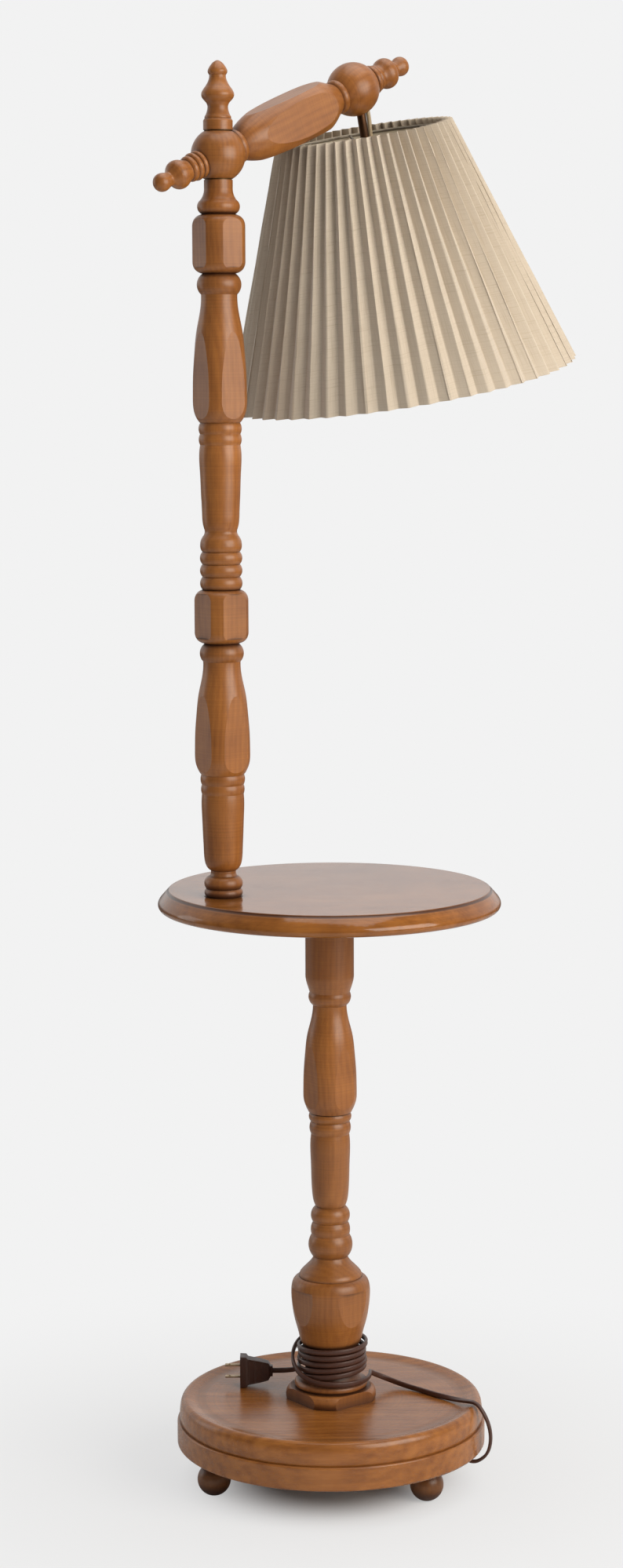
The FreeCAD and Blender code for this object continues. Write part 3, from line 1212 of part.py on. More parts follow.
def pleated_cover():
    """The pleated cloth: flat panels between straight folds that fan out downwards."""
    top_root = SHADE_TOP_RADIUS - pleat_depth(SHADE_TOP_RADIUS)
    bottom_root = SHADE_BOTTOM_RADIUS - pleat_depth(SHADE_BOTTOM_RADIUS)
    solids = []
    for shift in (0.0, PLEAT_CLOTH_THICKNESS):
        top = zigzag(SHADE_TOP_RADIUS, top_root, 0, shift)
        bottom = zigzag(SHADE_BOTTOM_RADIUS, bottom_root, SHADE_HEIGHT, shift)
        solids.append(Part.makeLoft([top, bottom], True, True))
    return on_shade(solids[0].cut(solids[1]), SHADE_DROP)


LINER_SLOPE = (LINER_BOTTOM_RADIUS - LINER_TOP_RADIUS) / SHADE_HEIGHT


def liner_radius(level):
    """Outer radius of the liner this far below the cloth's top edge."""
    return LINER_TOP_RADIUS + LINER_SLOPE * level


def liner():
    """The thin cone of stiff paper inside the folds, a little shorter than they are."""
    top = liner_radius(LINER_RECESS)
    bottom = LINER_BOTTOM_RADIUS
    height = SHADE_HEIGHT - LINER_RECESS
    outer = Part.makeCone(top, bottom, height)
    inner = Part.makeCone(top - LINER_THICKNESS, bottom - LINER_THICKNESS, height)
    return on_shade(outer.cut(inner), SHADE_DROP + LINER_RECESS)


def wire_ring(level):
    """A round wire just inside the liner, this far below the cloth's top edge."""
    reach = SHADE_WIRE_RADIUS * math.sqrt(1 + LINER_SLOPE ** 2)
    radius = liner_radius(level) - LINER_THICKNESS - SEAT_GAP - reach
    return radius, on_shade(Part.makeTorus(radius, SHADE_WIRE_RADIUS), SHADE_DROP + level)


def spider(wire_radius, wire_level):
    """The hub ring round the lamp holder, with three arms up to the top wire."""
    outer = SOCKET_CAP_RADIUS + SPIDER_RIM
    hub = ring(outer, SOCKET_CAP_RADIUS + RUNNING_GAP, SPIDER_THICKNESS)
    middle = SPIDER_THICKNESS / 2
    for number in range(SPIDER_ARM_COUNT):
        angle = SPIDER_HEADING + 360.0 / SPIDER_ARM_COUNT * number
        inside = heading(angle, outer - 0.4) + UP * middle
        outside = heading(angle, wire_radius) + UP * (wire_level - HUB_TOP)
        run = outside - inside
        hub = hub.fuse(cylinder(SPIDER_ARM_RADIUS, run.Length, inside, run))
    return on_shade(hub.removeSplitter(), HUB_TOP)


def build_shade():
    top_level = LINER_RECESS + 2.0
    bottom_level = SHADE_HEIGHT - 2.0
    top_radius, top_wire = wire_ring(top_level)
    bottom_wire = wire_ring(bottom_level)[1]
    keep("shade_spider", spider(top_radius, SHADE_DROP + top_level).cut(top_wire))
    keep("shade_wires", top_wire, bottom_wire)
    keep("shade_liner", liner())
    keep("shade_pleats", pleated_cover())


# ---------------------------------------------------------------- leads inside the posts
def build_lower_lead():
    """The lead from the bushing to the swivel: base, pedestal, table and column."""
    exit_place = heading(CORD_HEADING, CORD_EXIT_RADIUS)
    points = [exit_place + UP * (BUSHING_TOP - 4.0), exit_place + UP * LEAD_LEVEL,
              V(0, 0, LEAD_LEVEL), V(0, 0, CHANNEL_LEVEL_NEAR),
              COLUMN_AXIS + UP * CHANNEL_LEVEL_FAR, COLUMN_AXIS + UP * SWIVEL_HEIGHT]
    bends = [LEAD_EXIT_BEND, LEAD_BEND, TABLE_BEND, TABLE_BEND]
    keep("lower_lead", tube_along(points, bends, LEAD_RADIUS))


# ---------------------------------------------------------------- mains cord
def seen(right, away, height):
    """A point given across and into the view, and its height above the floor."""
    turn = math.radians(VIEW_HEADING)
    return V(right * math.cos(turn) + away * math.sin(turn),
             away * math.cos(turn) - right * math.sin(turn), height)


def cord_run_points():
    """Corners of the cord from the bushing, round the rim and over the base to the neck."""
    out = heading(CORD_HEADING)
    mouth = CORD_EXIT_RADIUS
    low = BASE_BOTTOM
    top = BASE_TOP + CORD_RADIUS
    edge = BASE_LOWER_RADIUS
    end = winding_point(0) - winding_tangent(0) * 2 * CORD_RADIUS
    return [out * mouth + UP * (low - BUSHING_LIP), out * (mouth + 0.4) + UP * (low - 6.2),
            out * (mouth + 4.2) + UP * (low - 9.4), out * (mouth + 13.0) + UP * (low - 8.6),
            out * (mouth + 23.5) + UP * (low + 0.5), out * (mouth + 27.0) + UP * (low + 16.0),
            out * (mouth + 25.0) + UP * (low + 31.0), out * (mouth + 19.0) + UP * (low + 44.5),
            seen(edge - 10.8, -44, top + 5.2), seen(edge - 22.3, -32, top + 2.9),
            seen(edge - 35.3, -17, top + 0.5), seen(edge - 50.3, -4.5, top + 0.3), seen(97, 12, top + 0.2),
            seen(80, 25, top + 1.2), seen(64, 33, top + 5.0), seen(51, 31, top + 11.0),
            seen(43.5, 22, top + 17.0), end - winding_tangent(0) * WINDING_LEAD_IN, end]


def smooth_share(angle, span):
    """0 before the span, 1 after it, and a soft rise between."""
    share = max(0.0, min(1.0, (angle - span[0]) / (span[1] - span[0])))
    return share * share * (3 - 2 * share)


def winding_point(angle):
    """A point of the turns: one low outer turn climbs over the rest, which come down again."""
    turn = math.radians(angle)
    climbed = smooth_share(angle, WINDING_CLIMB)
    drawn_in = smooth_share(angle, (WINDING_CLIMB[1] - 10.0, WINDING_CLIMB[1] + 150.0))
    low = WINDING_START + 2.0 * angle / 90.0 * (1 - climbed)
    high = WINDING_TOP - WINDING_PITCH * (angle - 450.0) / 360.0
    inner = WINDING_INNER_RADIUS + WINDING_LEAN * math.cos(turn) + WINDING_SWAY * math.sin(2.3 * turn)
    radius = WINDING_OUTER_RADIUS + (inner - WINDING_OUTER_RADIUS) * drawn_in
    height = low + (high - low) * climbed
    return seen(radius * math.cos(turn), -radius * math.sin(turn), BASE_TOP + height)


def winding_tangent(angle):
    return (winding_point(angle + 0.05) - winding_point(angle - 0.05)).normalize()


def biarc(start, start_tangent, end, end_tangent):
    """Two arcs that join smoothly and meet both ends in their directions."""
    gap = end - start
    total = start_tangent + end_tangent
    factor = 2 * (1 - start_tangent.dot(end_tangent))
    reach = (-gap.dot(total) + math.sqrt(gap.dot(total) ** 2 + factor * gap.dot(gap))) / factor
    joint = (start + start_tangent * reach + end - end_tangent * reach) * 0.5
    edges = []
    for first, last, tangent in ((start, joint, start_tangent), (joint, end, None)):
        chord = last - first
        if tangent is None:
            tangent = joint_tangent
        normal = (chord - tangent * chord.dot(tangent)).normalize()
        radius = chord.dot(chord) / (2 * chord.dot(normal))
        centre = first + normal * radius
        middle = centre + ((first + last) * 0.5 - centre).normalize() * radius
        edges.append(Part.Arc(first, middle, last).toShape())
        joint_tangent = (chord * (2 * chord.dot(tangent) / chord.dot(chord)) - tangent).normalize()
    return edges


def winding_wire():
    """The whole winding, with a straight lead-in and lead-out of one cord diameter."""
    total = WINDING_END
    step = WINDING_STEP
    count = int(round(total / step))
    edges = []
    first, last = winding_point(0), winding_point(total)
    edges.append(Part.LineSegment(first - winding_tangent(0) * 2 * CORD_RADIUS, first).toShape())
    for number in range(count):
        low, high = step * number, step * (number + 1)
        edges += biarc(winding_point(low), winding_tangent(low), winding_point(high), winding_tangent(high))
    edges.append(Part.LineSegment(last, last + winding_tangent(total) * 2 * CORD_RADIUS).toShape())
    return Part.Wire(edges), total


def cord_winding():
    wire, total = winding_wire()
    tangent = winding_tangent(0)
    start = winding_point(0) - tangent * 2 * CORD_RADIUS
    circle = Part.Wire(Part.Circle(start, tangent, CORD_RADIUS).toShape())
    tube = wire.makePipeShell([circle], True, False)
    samples = [winding_point(5.0 * k) for k in range(int(total / 5) + 1)]
    gap = min((samples[i] - samples[j]).Length for i in range(len(samples))
              for j in range(i + 36, len(samples))) - 2 * CORD_RADIUS
    print("winding: length %.0f, least gap to itself %.2f, tube volume %.0f against %.0f"
          % (wire.Length, gap, tube.Volume, wire.Length * math.pi * CORD_RADIUS ** 2))
    return tube, wire.Length


def even_bends(points):
    """An arc radius for each corner, from the shorter of its two runs."""
    radii = []
    for index in range(1, len(points) - 1):
        before = points[index - 1] - points[index]
        after = points[index + 1] - points[index]
        turn = math.pi - before.getAngle(after)
        radii.append(0.45 * min(before.Length, after.Length) / math.tan(turn / 2))
    return radii


def free_tube(name, points):
    """A stretch of free cord, with its radii and volume printed."""
    bends = even_bends(points)
    tube = tube_along(points, bends, CORD_RADIUS)
    length = rounded_wire(points, bends).Length
    print("%s: length %.0f, radii %s, volume %.0f against %.0f"
          % (name, length, " ".join("%.0f" % b for b in bends), tube.Volume,
             length * math.pi * CORD_RADIUS ** 2))
    keep(name, tube)
    return length


PLUG_CENTRE_HEIGHT = BASE_TOP + PLUG_WIDTH / 2
PLUG_AWAY = 38.0
PLUG_RIGHT = -62.0


def cord_tail_points():
    """Corners of the cord from the winding's end to the plug."""
    tangent = winding_tangent(WINDING_END)
    end = winding_point(WINDING_END) + tangent * 2 * CORD_RADIUS
    neck = PLUG_CENTRE_HEIGHT
    return [end, end + tangent * WINDING_LEAD_IN, seen(-36.5, 22, neck + 8.5), seen(-42.5, 31.5, neck + 3.5),
            seen(PLUG_RIGHT + 10.0, PLUG_AWAY, neck), seen(PLUG_RIGHT, PLUG_AWAY, neck)]


def plug():
    """A flat flared plug on its edge, with two flat prongs one above the other."""
    left = (seen(-1, 0, 0)).normalize()
    start = seen(PLUG_RIGHT, PLUG_AWAY, PLUG_CENTRE_HEIGHT)
    half_neck = PLUG_NECK_WIDTH / 2
    half = PLUG_WIDTH / 2
    length = PLUG_LENGTH
    outline = [V(-half_neck, 0, 0), V(-half_neck - 1, 0, length * 0.22), V(-half * 0.62, 0, length * 0.45),
               V(-half * 0.93, 0, length * 0.72), V(-half, 0, length * 0.80), V(-half, 0, length)]
    mirrored = [V(-p.x, 0, p.z) for p in reversed(outline)]
    face = Part.Face(Part.makePolygon(outline + mirrored + [outline[0]]))
    body = face.extrude(V(0, PLUG_THICKNESS, 0))
    body.translate(V(0, -PLUG_THICKNESS / 2, 0))
    body = body.makeFillet(2.2, [edge for edge in body.Edges if edge.Length > 3.0
                                 and abs(edge.CenterOfMass.y) > PLUG_THICKNESS * 0.45
                                 and edge.CenterOfMass.z > length * 0.9])
    prongs = []
    for side in (-1, 1):
        prong = Part.makeBox(PRONG_THICKNESS, PRONG_WIDTH, PRONG_LENGTH,
                             V(side * PRONG_SPACING / 2 - PRONG_THICKNESS / 2, -PRONG_WIDTH / 2, length))
        prongs.append(placed_along(prong, start, left, UP))
    return placed_along(body, start, left, UP), prongs


def build_cord():
    length = free_tube("cord_run", cord_run_points())
    winding, winding_length = cord_winding()
    keep("cord_winding", winding)
    length += winding_length
    length += free_tube("cord_tail", cord_tail_points())
    print("whole cord %.0f" % length)
    body, prongs = plug()
    keep("plug_body", body)
    keep("plug_prongs", *prongs)


# ---------------------------------------------------------------- write the parts
def main():
    build_feet()
    build_base()
    build_pedestal()
    build_table()
    build_column()
    build_arm()
    build_lamp_holder()
    build_shade()
    build_lower_lead()
    build_cord()
    os.makedirs("parts", exist_ok=True)
    for name, shape in SHAPES.items():
        if not shape.isValid():
            print("not valid:", name)
        shape.exportStep("parts/%s.step" % name)
    print("%d nodes" % len(SHAPES))


main()
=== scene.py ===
"""Looks of a turned wooden floor lamp with a tray table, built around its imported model.

The file is laid out as an add-on and run as a script. Lengths are in metres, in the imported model's
own frame: the floor is at zero, +Z is up, and +X runs from the upper column to the table's middle.
"""
import json
import math

import bmesh
import bpy
from bpy.props import FloatProperty, FloatVectorProperty, IntProperty, PointerProperty
from mathutils import Matrix, Vector


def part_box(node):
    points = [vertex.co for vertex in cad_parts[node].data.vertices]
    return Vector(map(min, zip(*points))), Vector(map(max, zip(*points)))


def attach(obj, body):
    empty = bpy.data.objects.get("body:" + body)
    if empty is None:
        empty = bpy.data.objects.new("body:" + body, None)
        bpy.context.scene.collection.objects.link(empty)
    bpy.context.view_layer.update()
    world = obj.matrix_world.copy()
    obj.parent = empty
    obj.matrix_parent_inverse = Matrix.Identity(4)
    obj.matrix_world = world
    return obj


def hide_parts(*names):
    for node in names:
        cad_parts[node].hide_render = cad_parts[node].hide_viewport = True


bl_info = {
    "name": "Floor Lamp with Table",
    "version": (1, 0, 0),
    "blender": (4, 5, 0),
    "location": "3D View > Sidebar > Floor Lamp",
    "description": "Cord, plug, pleated shade, finishes and studio for a turned floor lamp",
    "category": "Object",
}

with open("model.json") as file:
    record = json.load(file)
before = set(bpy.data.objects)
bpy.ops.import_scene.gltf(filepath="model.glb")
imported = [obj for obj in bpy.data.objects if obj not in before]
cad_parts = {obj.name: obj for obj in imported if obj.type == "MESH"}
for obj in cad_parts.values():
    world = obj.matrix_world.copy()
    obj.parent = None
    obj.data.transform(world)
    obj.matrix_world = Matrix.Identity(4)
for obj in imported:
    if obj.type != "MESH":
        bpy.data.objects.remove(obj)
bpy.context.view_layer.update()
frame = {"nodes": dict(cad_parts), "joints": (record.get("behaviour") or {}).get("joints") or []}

UP = Vector((0, 0, 1))
MM = 0.001


def node_middle(name):
    low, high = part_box(name)
    return (low + high) / 2


def joint(name):
    return next(j for j in frame["joints"] if j["name"] == name)


BASE_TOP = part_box("pedestal_plinth")[0].z
BASE_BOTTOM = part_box("base_lower_board")[0].z
TABLE_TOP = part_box("table_top")[1].z
COLUMN_AXIS = Vector((node_middle("column_spindle").x, 0, 0))
SWIVEL_CENTRE = node_middle("swivel_ball")
TIP_CENTRE = node_middle("tip_ball")
ARM_DIRECTION = (TIP_CENTRE - SWIVEL_CENTRE).normalized()
SHADE_DOWN = Vector(joint("shade_turn")["axis"]).normalized()
SHADE_HUB = Vector(joint("shade_turn")["pos_m"])


# ---------------- sizes and colours a user may change
def length_setting(name, description, default):
    return FloatProperty(name=name, description=description, default=default, unit="LENGTH",
                         precision=5)


def angle_setting(name, description, degrees):
    return FloatProperty(name=name, description=description, default=math.radians(degrees),
                         subtype="ANGLE")


def power_setting(name, description, default):
    return FloatProperty(name=name, description=description, default=default, unit="POWER")


def colour_setting(name, description, default):
    return FloatVectorProperty(name=name, description=description, size=3, default=default,
                               subtype="COLOR")


class LampCameraSettings(bpy.types.PropertyGroup):
    """The photograph's point of view."""
    place: FloatVectorProperty(name="Place", description="Where the camera stands", size=3,
                               default=(-1.3991, -3.0305, 1.1942), subtype="TRANSLATION", unit="LENGTH")
    heading: angle_setting("Heading", "How far the view turns from +Y towards +X", 24.47)
    dip: angle_setting("Dip", "How far the view looks down", 7.676)
    roll: angle_setting("Roll", "How far the picture leans", -0.2186)
    lens: FloatProperty(name="Lens", description="Focal length for a 36 mm long side", default=74.81,
                        subtype="DISTANCE_CAMERA")


class LampCordSettings(bpy.types.PropertyGroup):
    """The mains cord, a flat twin flex."""
    width: length_setting("Width", "Across both cores", 5.7 * MM)
    thickness: length_setting("Thickness", "Across one core", 3.4 * MM)
    length: length_setting("Length", "From the base to the plug", 1.56)
    turns_radius: length_setting("Turns' radius", "Of the turns round the neck", 35.0 * MM)
    first_turn_radius: length_setting("First turn's radius", "Of the low outer turn", 40.4 * MM)
    colour: colour_setting("Colour", "Plastic of the cord", (0.064, 0.023, 0.013))


class LampPlugSettings(bpy.types.PropertyGroup):
    """The moulded plug with two flat blades."""
    length: length_setting("Length", "Body without blades", 35.0 * MM)
    width: length_setting("Width", "Flange across the blades", 34.0 * MM)
    thickness: length_setting("Thickness", "Flange along the blades' width", 16.6 * MM)
    blade_length: length_setting("Blade length", "Blades outside the body", 16.0 * MM)
    blade_spacing: length_setting("Blade spacing", "Between the blades' middles", 12.7 * MM)
    colour: colour_setting("Colour", "Plastic of the plug", (0.048, 0.018, 0.012))


class LampShadeSettings(bpy.types.PropertyGroup):
    """The pleated cloth of the shade."""
    pleats: IntProperty(name="Pleats", description="Folds all the way round", default=54, min=12)
    panel_width: length_setting("Panel width", "From fold to fold", 12.6 * MM)
    cloth_thickness: length_setting("Cloth thickness", "Cloth with its backing", 0.5 * MM)
    colour: colour_setting("Colour", "Linen cloth", (0.55, 0.468, 0.368))
    thread_colour: colour_setting("Thread colour", "Darker threads", (0.375, 0.295, 0.208))


class LampWoodSettings(bpy.types.PropertyGroup):
    """The stained and lacquered wood."""
    light: colour_setting("Light", "Early wood", (0.350, 0.128, 0.026))
    middle: colour_setting("Middle", "Late wood", (0.205, 0.066, 0.012))
    # this colour darkens grooves and necks: stain gathered there, and painted shade
    stain_and_shade: colour_setting("Stain", "Stain gathered in grooves", (0.050, 0.015, 0.005))
    roughness: FloatProperty(name="Roughness", description="Of the lacquered wood", default=0.34)


class LampStageSettings(bpy.types.PropertyGroup):
    """Floor and studio light."""
    pale: colour_setting("Background", "Pale floor and background", (0.888, 0.888, 0.888))
    key_power: power_setting("Key light", "Soft box on the right", 74.0)
    fill_power: power_setting("Fill light", "Soft box on the left", 5.5)
    top_power: power_setting("Top light", "Soft box overhead", 34.0)
    room: FloatProperty(name="Room light", description="Strength of the world's light", default=0.36)


# ---------------- shader maths
class Signal:
    """What a node gives; Python's operators add Math nodes to its tree."""

    def __init__(self, shading, socket):
        self.shading = shading
        self.socket = socket

    def _maths(self, operation, *values):
        return self.shading.node("ShaderNodeMath", {"operation": operation}, dict(enumerate(values)))

    def __add__(self, other):
        return self._maths("ADD", self, other)

    def __sub__(self, other):
        return self._maths("SUBTRACT", self, other)

    def __rsub__(self, other):
        return self._maths("SUBTRACT", other, self)

    def __mul__(self, other):
        return self._maths("MULTIPLY", self, other)

    __radd__ = __add__

    def sine(self):
        return self._maths("SINE", self)

    def absolute(self):
        return self._maths("ABSOLUTE", self)

    def high(self, other):
        return self._maths("MAXIMUM", self, other)

    def fade(self, start, end, low=0.0, high=1.0):
        """The low value at start, the high one at end, soft between."""
        return self.shading.node("ShaderNodeMapRange", {"interpolation_type": "SMOOTHSTEP"},
                                 {"Value": self, "From Min": start, "From Max": end,
                                  "To Min": low, "To Max": high})


class Shading:
    """A node tree under construction."""

    def __init__(self, tree):
        self.tree = tree
        self.tree.nodes.clear()

    def node(self, kind, settings=None, inputs=None, output=0):
        """Adds a node: settings first, then the values or links of its sockets."""
        made = self.tree.nodes.new(kind)
        for name, value in (settings or {}).items():
            setattr(made, name, value)
        for name, value in (inputs or {}).items():
            socket = made.inputs[name]
            if isinstance(value, Signal):
                self.tree.links.new(value.socket, socket)
            else:
                socket.default_value = value
        return Signal(self, made.outputs[output]) if made.outputs else None

    def place(self):
        return self.node("ShaderNodeTexCoord", output=3)

    def ray(self, kind):
        """1 for rays of this kind, 0 for others."""
        return self.node("ShaderNodeLightPath", output=kind)

    def vector(self, operation, *values, output=0):
        return self.node("ShaderNodeVectorMath", {"operation": operation}, dict(enumerate(values)), output)

    def along(self, place, direction):
        """How far a place lies along a direction."""
        return self.vector("DOT_PRODUCT", place, tuple(direction), output=1)

    def joined(self, x=0.0, y=0.0, z=0.0):
        return self.node("ShaderNodeCombineXYZ", None, {0: x, 1: y, 2: z})

    def scaled(self, vector, factor):
        return self.node("ShaderNodeVectorMath", {"operation": "SCALE"}, {0: vector, "Scale": factor})

    def noise(self, vector, scale=1.0, detail=2.0, rough=0.5, warp=0.0, output=0):
        return self.node("ShaderNodeTexNoise", None,
                         {"Vector": vector, "Scale": scale, "Detail": detail, "Roughness": rough,
                          "Distortion": warp}, output)

    def mix(self, factor, first, second, blend="MIX"):
        """A colour between two colours."""
        values = {0: factor}
        for slot, colour in ((6, first), (7, second)):
            values[slot] = colour if isinstance(colour, Signal) else rgba(colour)
        return self.node("ShaderNodeMix", {"data_type": "RGBA", "blend_type": blend}, values, 2)

    def grey(self, value):
        return self.node("ShaderNodeCombineColor", None, {0: value, 1: value, 2: value})

    def bump(self, height, distance, strength):
        return self.node("ShaderNodeBump", None,
                         {"Height": height, "Distance": distance, "Strength": strength})


class Finish(Shading):
    """A material under construction."""

    def __init__(self, name):
        self.material = bpy.data.materials.new(name)
        self.material.use_nodes = True
        super().__init__(self.material.node_tree)

    def surface(self, **inputs):
        """The Principled shader, named as its sockets with _ for a space, wired to the output."""
        values = {}
        for name, value in inputs.items():
            if not isinstance(value, Signal) and hasattr(value, "__len__"):
                value = rgba(value)
            values[name.replace("_", " ")] = value
        shader = self.node("ShaderNodeBsdfPrincipled", None, values)
        self.node("ShaderNodeOutputMaterial", None, {"Surface": shader})
        return self.material


def rgba(colour):
    return (*tuple(colour)[:3], 1.0)


def shade_of(colour, factor):
    return tuple(c * factor for c in tuple(colour)[:3])


# ---------------- finishes
# cycles per metre of the wood's marks, across and along the grain
FIBRES = (430.0, 10.0)
PORES = (2100.0, 95.0)
STREAKS = (120.0, 9.0)
LATHE_MARKS = 560.0  # cycles per metre along a turning
DISC_MARKS = 430.0  # cycles per metre of a disc's radius
GROOVE_REACH = 0.024  # how wide a groove may be and still be darkened, by stain and painted shade
WOOD_RELIEF = 0.00011


def wood(name, pith, grain, ring_gap, seed, tone=1.0, lathe=None, rough=0.0, figure=0.5, streaks=0.0,
         grime=0.92, turned_lines=()):
    """Stained, lacquered wood with growth rings round a pith line that runs along the grain.

    Lathe lines are cut across the lathe direction, or as circles on a disc if there is none. Each turned
    line on a disc has a radius, a width, a darkness and the height above which it is cut. Grooves, necks
    and corners are darkened by ambient occlusion, partly stain gathered there and partly painted shade.
    """
    settings = bpy.context.scene.lamp_wood
    grain = Vector(grain).normalized()
    make = Finish(name)
    world = make.place()
    place = make.vector("SUBTRACT", world, tuple(pith))
    lengthwise = make.along(place, grain)
    axis = make.joined(*grain)
    flat = make.vector("SUBTRACT", place, make.scaled(axis, lengthwise))

    def shifted(scale, factor=1.0):
        """The place, scaled, and moved by the seed so that no two pieces are alike."""
        shift = tuple(seed * k * factor for k in (7.1, 3.3, 1.7))
        return make.vector("ADD", make.scaled(place, scale), shift)

    def drawn_out(cycles, detail=3.0, roughness=0.6):
        """A noise that is finer across the grain than along it, about 0 in the middle."""
        across, along = cycles
        run = make.scaled(axis, lengthwise * along + seed * 1.3)
        spot = make.vector("ADD", make.scaled(flat, across), run)
        return make.noise(spot, 1.0, detail, roughness) - 0.5

    waver = make.noise(shifted(9.0), 1.0, 2.0)
    bend = make.vector("SUBTRACT", make.noise(shifted(5.0, 0.7), 1.0, 1.0, output=1), (0.5, 0.5, 0.5))
    radius = make.vector("LENGTH", make.vector("ADD", flat, make.scaled(bend, 0.03)), output=1)
    phase = radius * (1 / ring_gap) + waver * 2.4
    ring = (phase * (2 * math.pi)).sine() * 0.5
    fibre = drawn_out(FIBRES)
    pore = (drawn_out(PORES, 1.0, 0.55) + 0.5).fade(0.62, 0.74)
    glaze = make.noise(shifted(21.0, 1.9), 1.0, 3.0, 0.55) - 0.5
    if lathe is None:
        turned = make.vector("LENGTH", make.vector("MULTIPLY", world, (1, 1, 0)), output=1)
        lines = make.noise(make.joined(turned * DISC_MARKS, seed), 1.0, 2.0, 0.6) - 0.5
    else:
        turned = make.along(place, lathe)
        lines = make.noise(make.joined(turned * LATHE_MARKS, seed), 1.0, 3.0, 0.75) - 0.5
    # ambient occlusion darkens grooves, necks and corners: stain gathered there, and painted shade
    nearby = make.node("ShaderNodeAmbientOcclusion", {"samples": 8}, {"Distance": GROOVE_REACH}, 1)
    stain_and_shade = (1.0 - nearby).fade(0.05, 0.60) * grime
    relief = lines * 0.9 + fibre * 0.4 - pore * 0.3
    # each turned line darkens its ring; on the base's cove this darkening is painted shade
    for at, width, darkness, above in turned_lines:
        cut = make.along(world, UP).fade(above, above + 0.0005)
        band = (1.0 - (turned - at).absolute().fade(width * 0.25, width)) * cut
        stain_and_shade = stain_and_shade.high(band * darkness)
        relief = relief - band * 2.5
    mixed = 0.5 + ring * (0.42 * figure) + fibre * (1.7 * figure) + glaze * 1.5
    if streaks:
        mixed = mixed + drawn_out(STREAKS) * streaks
    colour = make.mix(mixed, shade_of(settings.light, tone), shade_of(settings.middle, tone))
    colour = make.mix(1.0, colour, make.grey(1.0 + lines * 0.85), "MULTIPLY")
    colour = make.mix(pore * 0.25, colour, shade_of(settings.middle, tone * 0.5))
    colour = make.mix(stain_and_shade, colour, settings.stain_and_shade)
    roughness = settings.roughness + rough + fibre * 0.12 + glaze * 0.10 + stain_and_shade * 0.14
    return make.surface(Base_Color=colour, Roughness=roughness,
                        Normal=make.bump(relief, WOOD_RELIEF, 0.6), IOR=1.5)


def metal(name, colour, rough, worn=0.25, tarnish=None):
    """Bare or plated metal with fine tooling marks and duller patches."""
    make = Finish(name)
    place = make.place()
    marks = make.noise(place, 700.0, 3.0, 0.6)
    patches = make.noise(place, 90.0, 3.0, 0.6).fade(0.42, 0.68)
    tone = make.mix(patches * worn, colour, tarnish or shade_of(colour, 0.55))
    return make.surface(Base_Color=tone, Metallic=1.0 - patches * 0.12,
                        Roughness=rough + marks * 0.12 + patches * worn * 0.5,
                        Normal=make.bump(marks, 0.00005, 0.4))


def cast_iron(name):
    make = Finish(name)
    grains = make.noise(make.place(), 900.0, 4.0, 0.65)
    rust = make.noise(make.place(), 60.0, 4.0, 0.6).fade(0.55, 0.72)
    tone = make.mix(rust * 0.6, (0.030, 0.030, 0.032), (0.085, 0.030, 0.012))
    return make.surface(Base_Color=tone, Metallic=0.55, Roughness=0.62 + grains * 0.2,
                        Normal=make.bump(grains, 0.0004, 0.6))


def fibreboard(name, colour):
    """Pressed board, card and the like: matted fibres with darker flecks."""
    make = Finish(name)
    place = make.place()
    felt = make.noise(place, 1400.0, 4.0, 0.7, 0.6)
    flecks = make.noise(place, 420.0, 2.0).fade(0.60, 0.72)
    tone = make.mix(felt, shade_of(colour, 0.78), shade_of(colour, 1.15))
    tone = make.mix(flecks * 0.35, tone, shade_of(colour, 0.45))
    return make.surface(Base_Color=tone, Roughness=0.82 + felt * 0.1,
                        Normal=make.bump(felt, 0.0002, 0.5))


def moulded(name, colour, rough):
    """Moulded plastic or rubber: fine skin texture, a little dust and handling gloss."""
    make = Finish(name)
    place = make.place()
    skin = make.noise(place, 900.0, 3.0, 0.6)
    handled = make.noise(place, 130.0, 2.0).fade(0.4, 0.65)
    tone = make.mix(skin * 0.5 + handled * 0.25, shade_of(colour, 0.82), shade_of(colour, 1.25))
    return make.surface(Base_Color=tone, Roughness=rough + skin * 0.12 - handled * 0.08,
                        Normal=make.bump(skin, 0.00008, 0.45))


def frosted_glass(name):
    make = Finish(name)
    grains = make.noise(make.place(), 1800.0, 3.0, 0.6)
    tone = make.mix(grains, (0.90, 0.90, 0.87), (0.97, 0.97, 0.95))
    return make.surface(Base_Color=tone, Roughness=0.42 + grains * 0.12, Transmission_Weight=0.55,
                        IOR=1.45, Normal=make.bump(grains, 0.00004, 0.3))


def liner_paper(name):
    """Stiff warm-white paper laminate, a little mottled."""
    make = Finish(name)
    place = make.place()
    fibres = make.noise(place, 800.0, 4.0, 0.65, 0.8)
    cloud = make.noise(place, 22.0, 2.0)
    tone = make.mix(fibres * 0.5 + cloud * 0.4, (0.62, 0.54, 0.42), (0.80, 0.73, 0.60))
    return make.surface(Base_Color=tone, Roughness=0.78 + fibres * 0.1,
                        Normal=make.bump(fibres, 0.00008, 0.4))


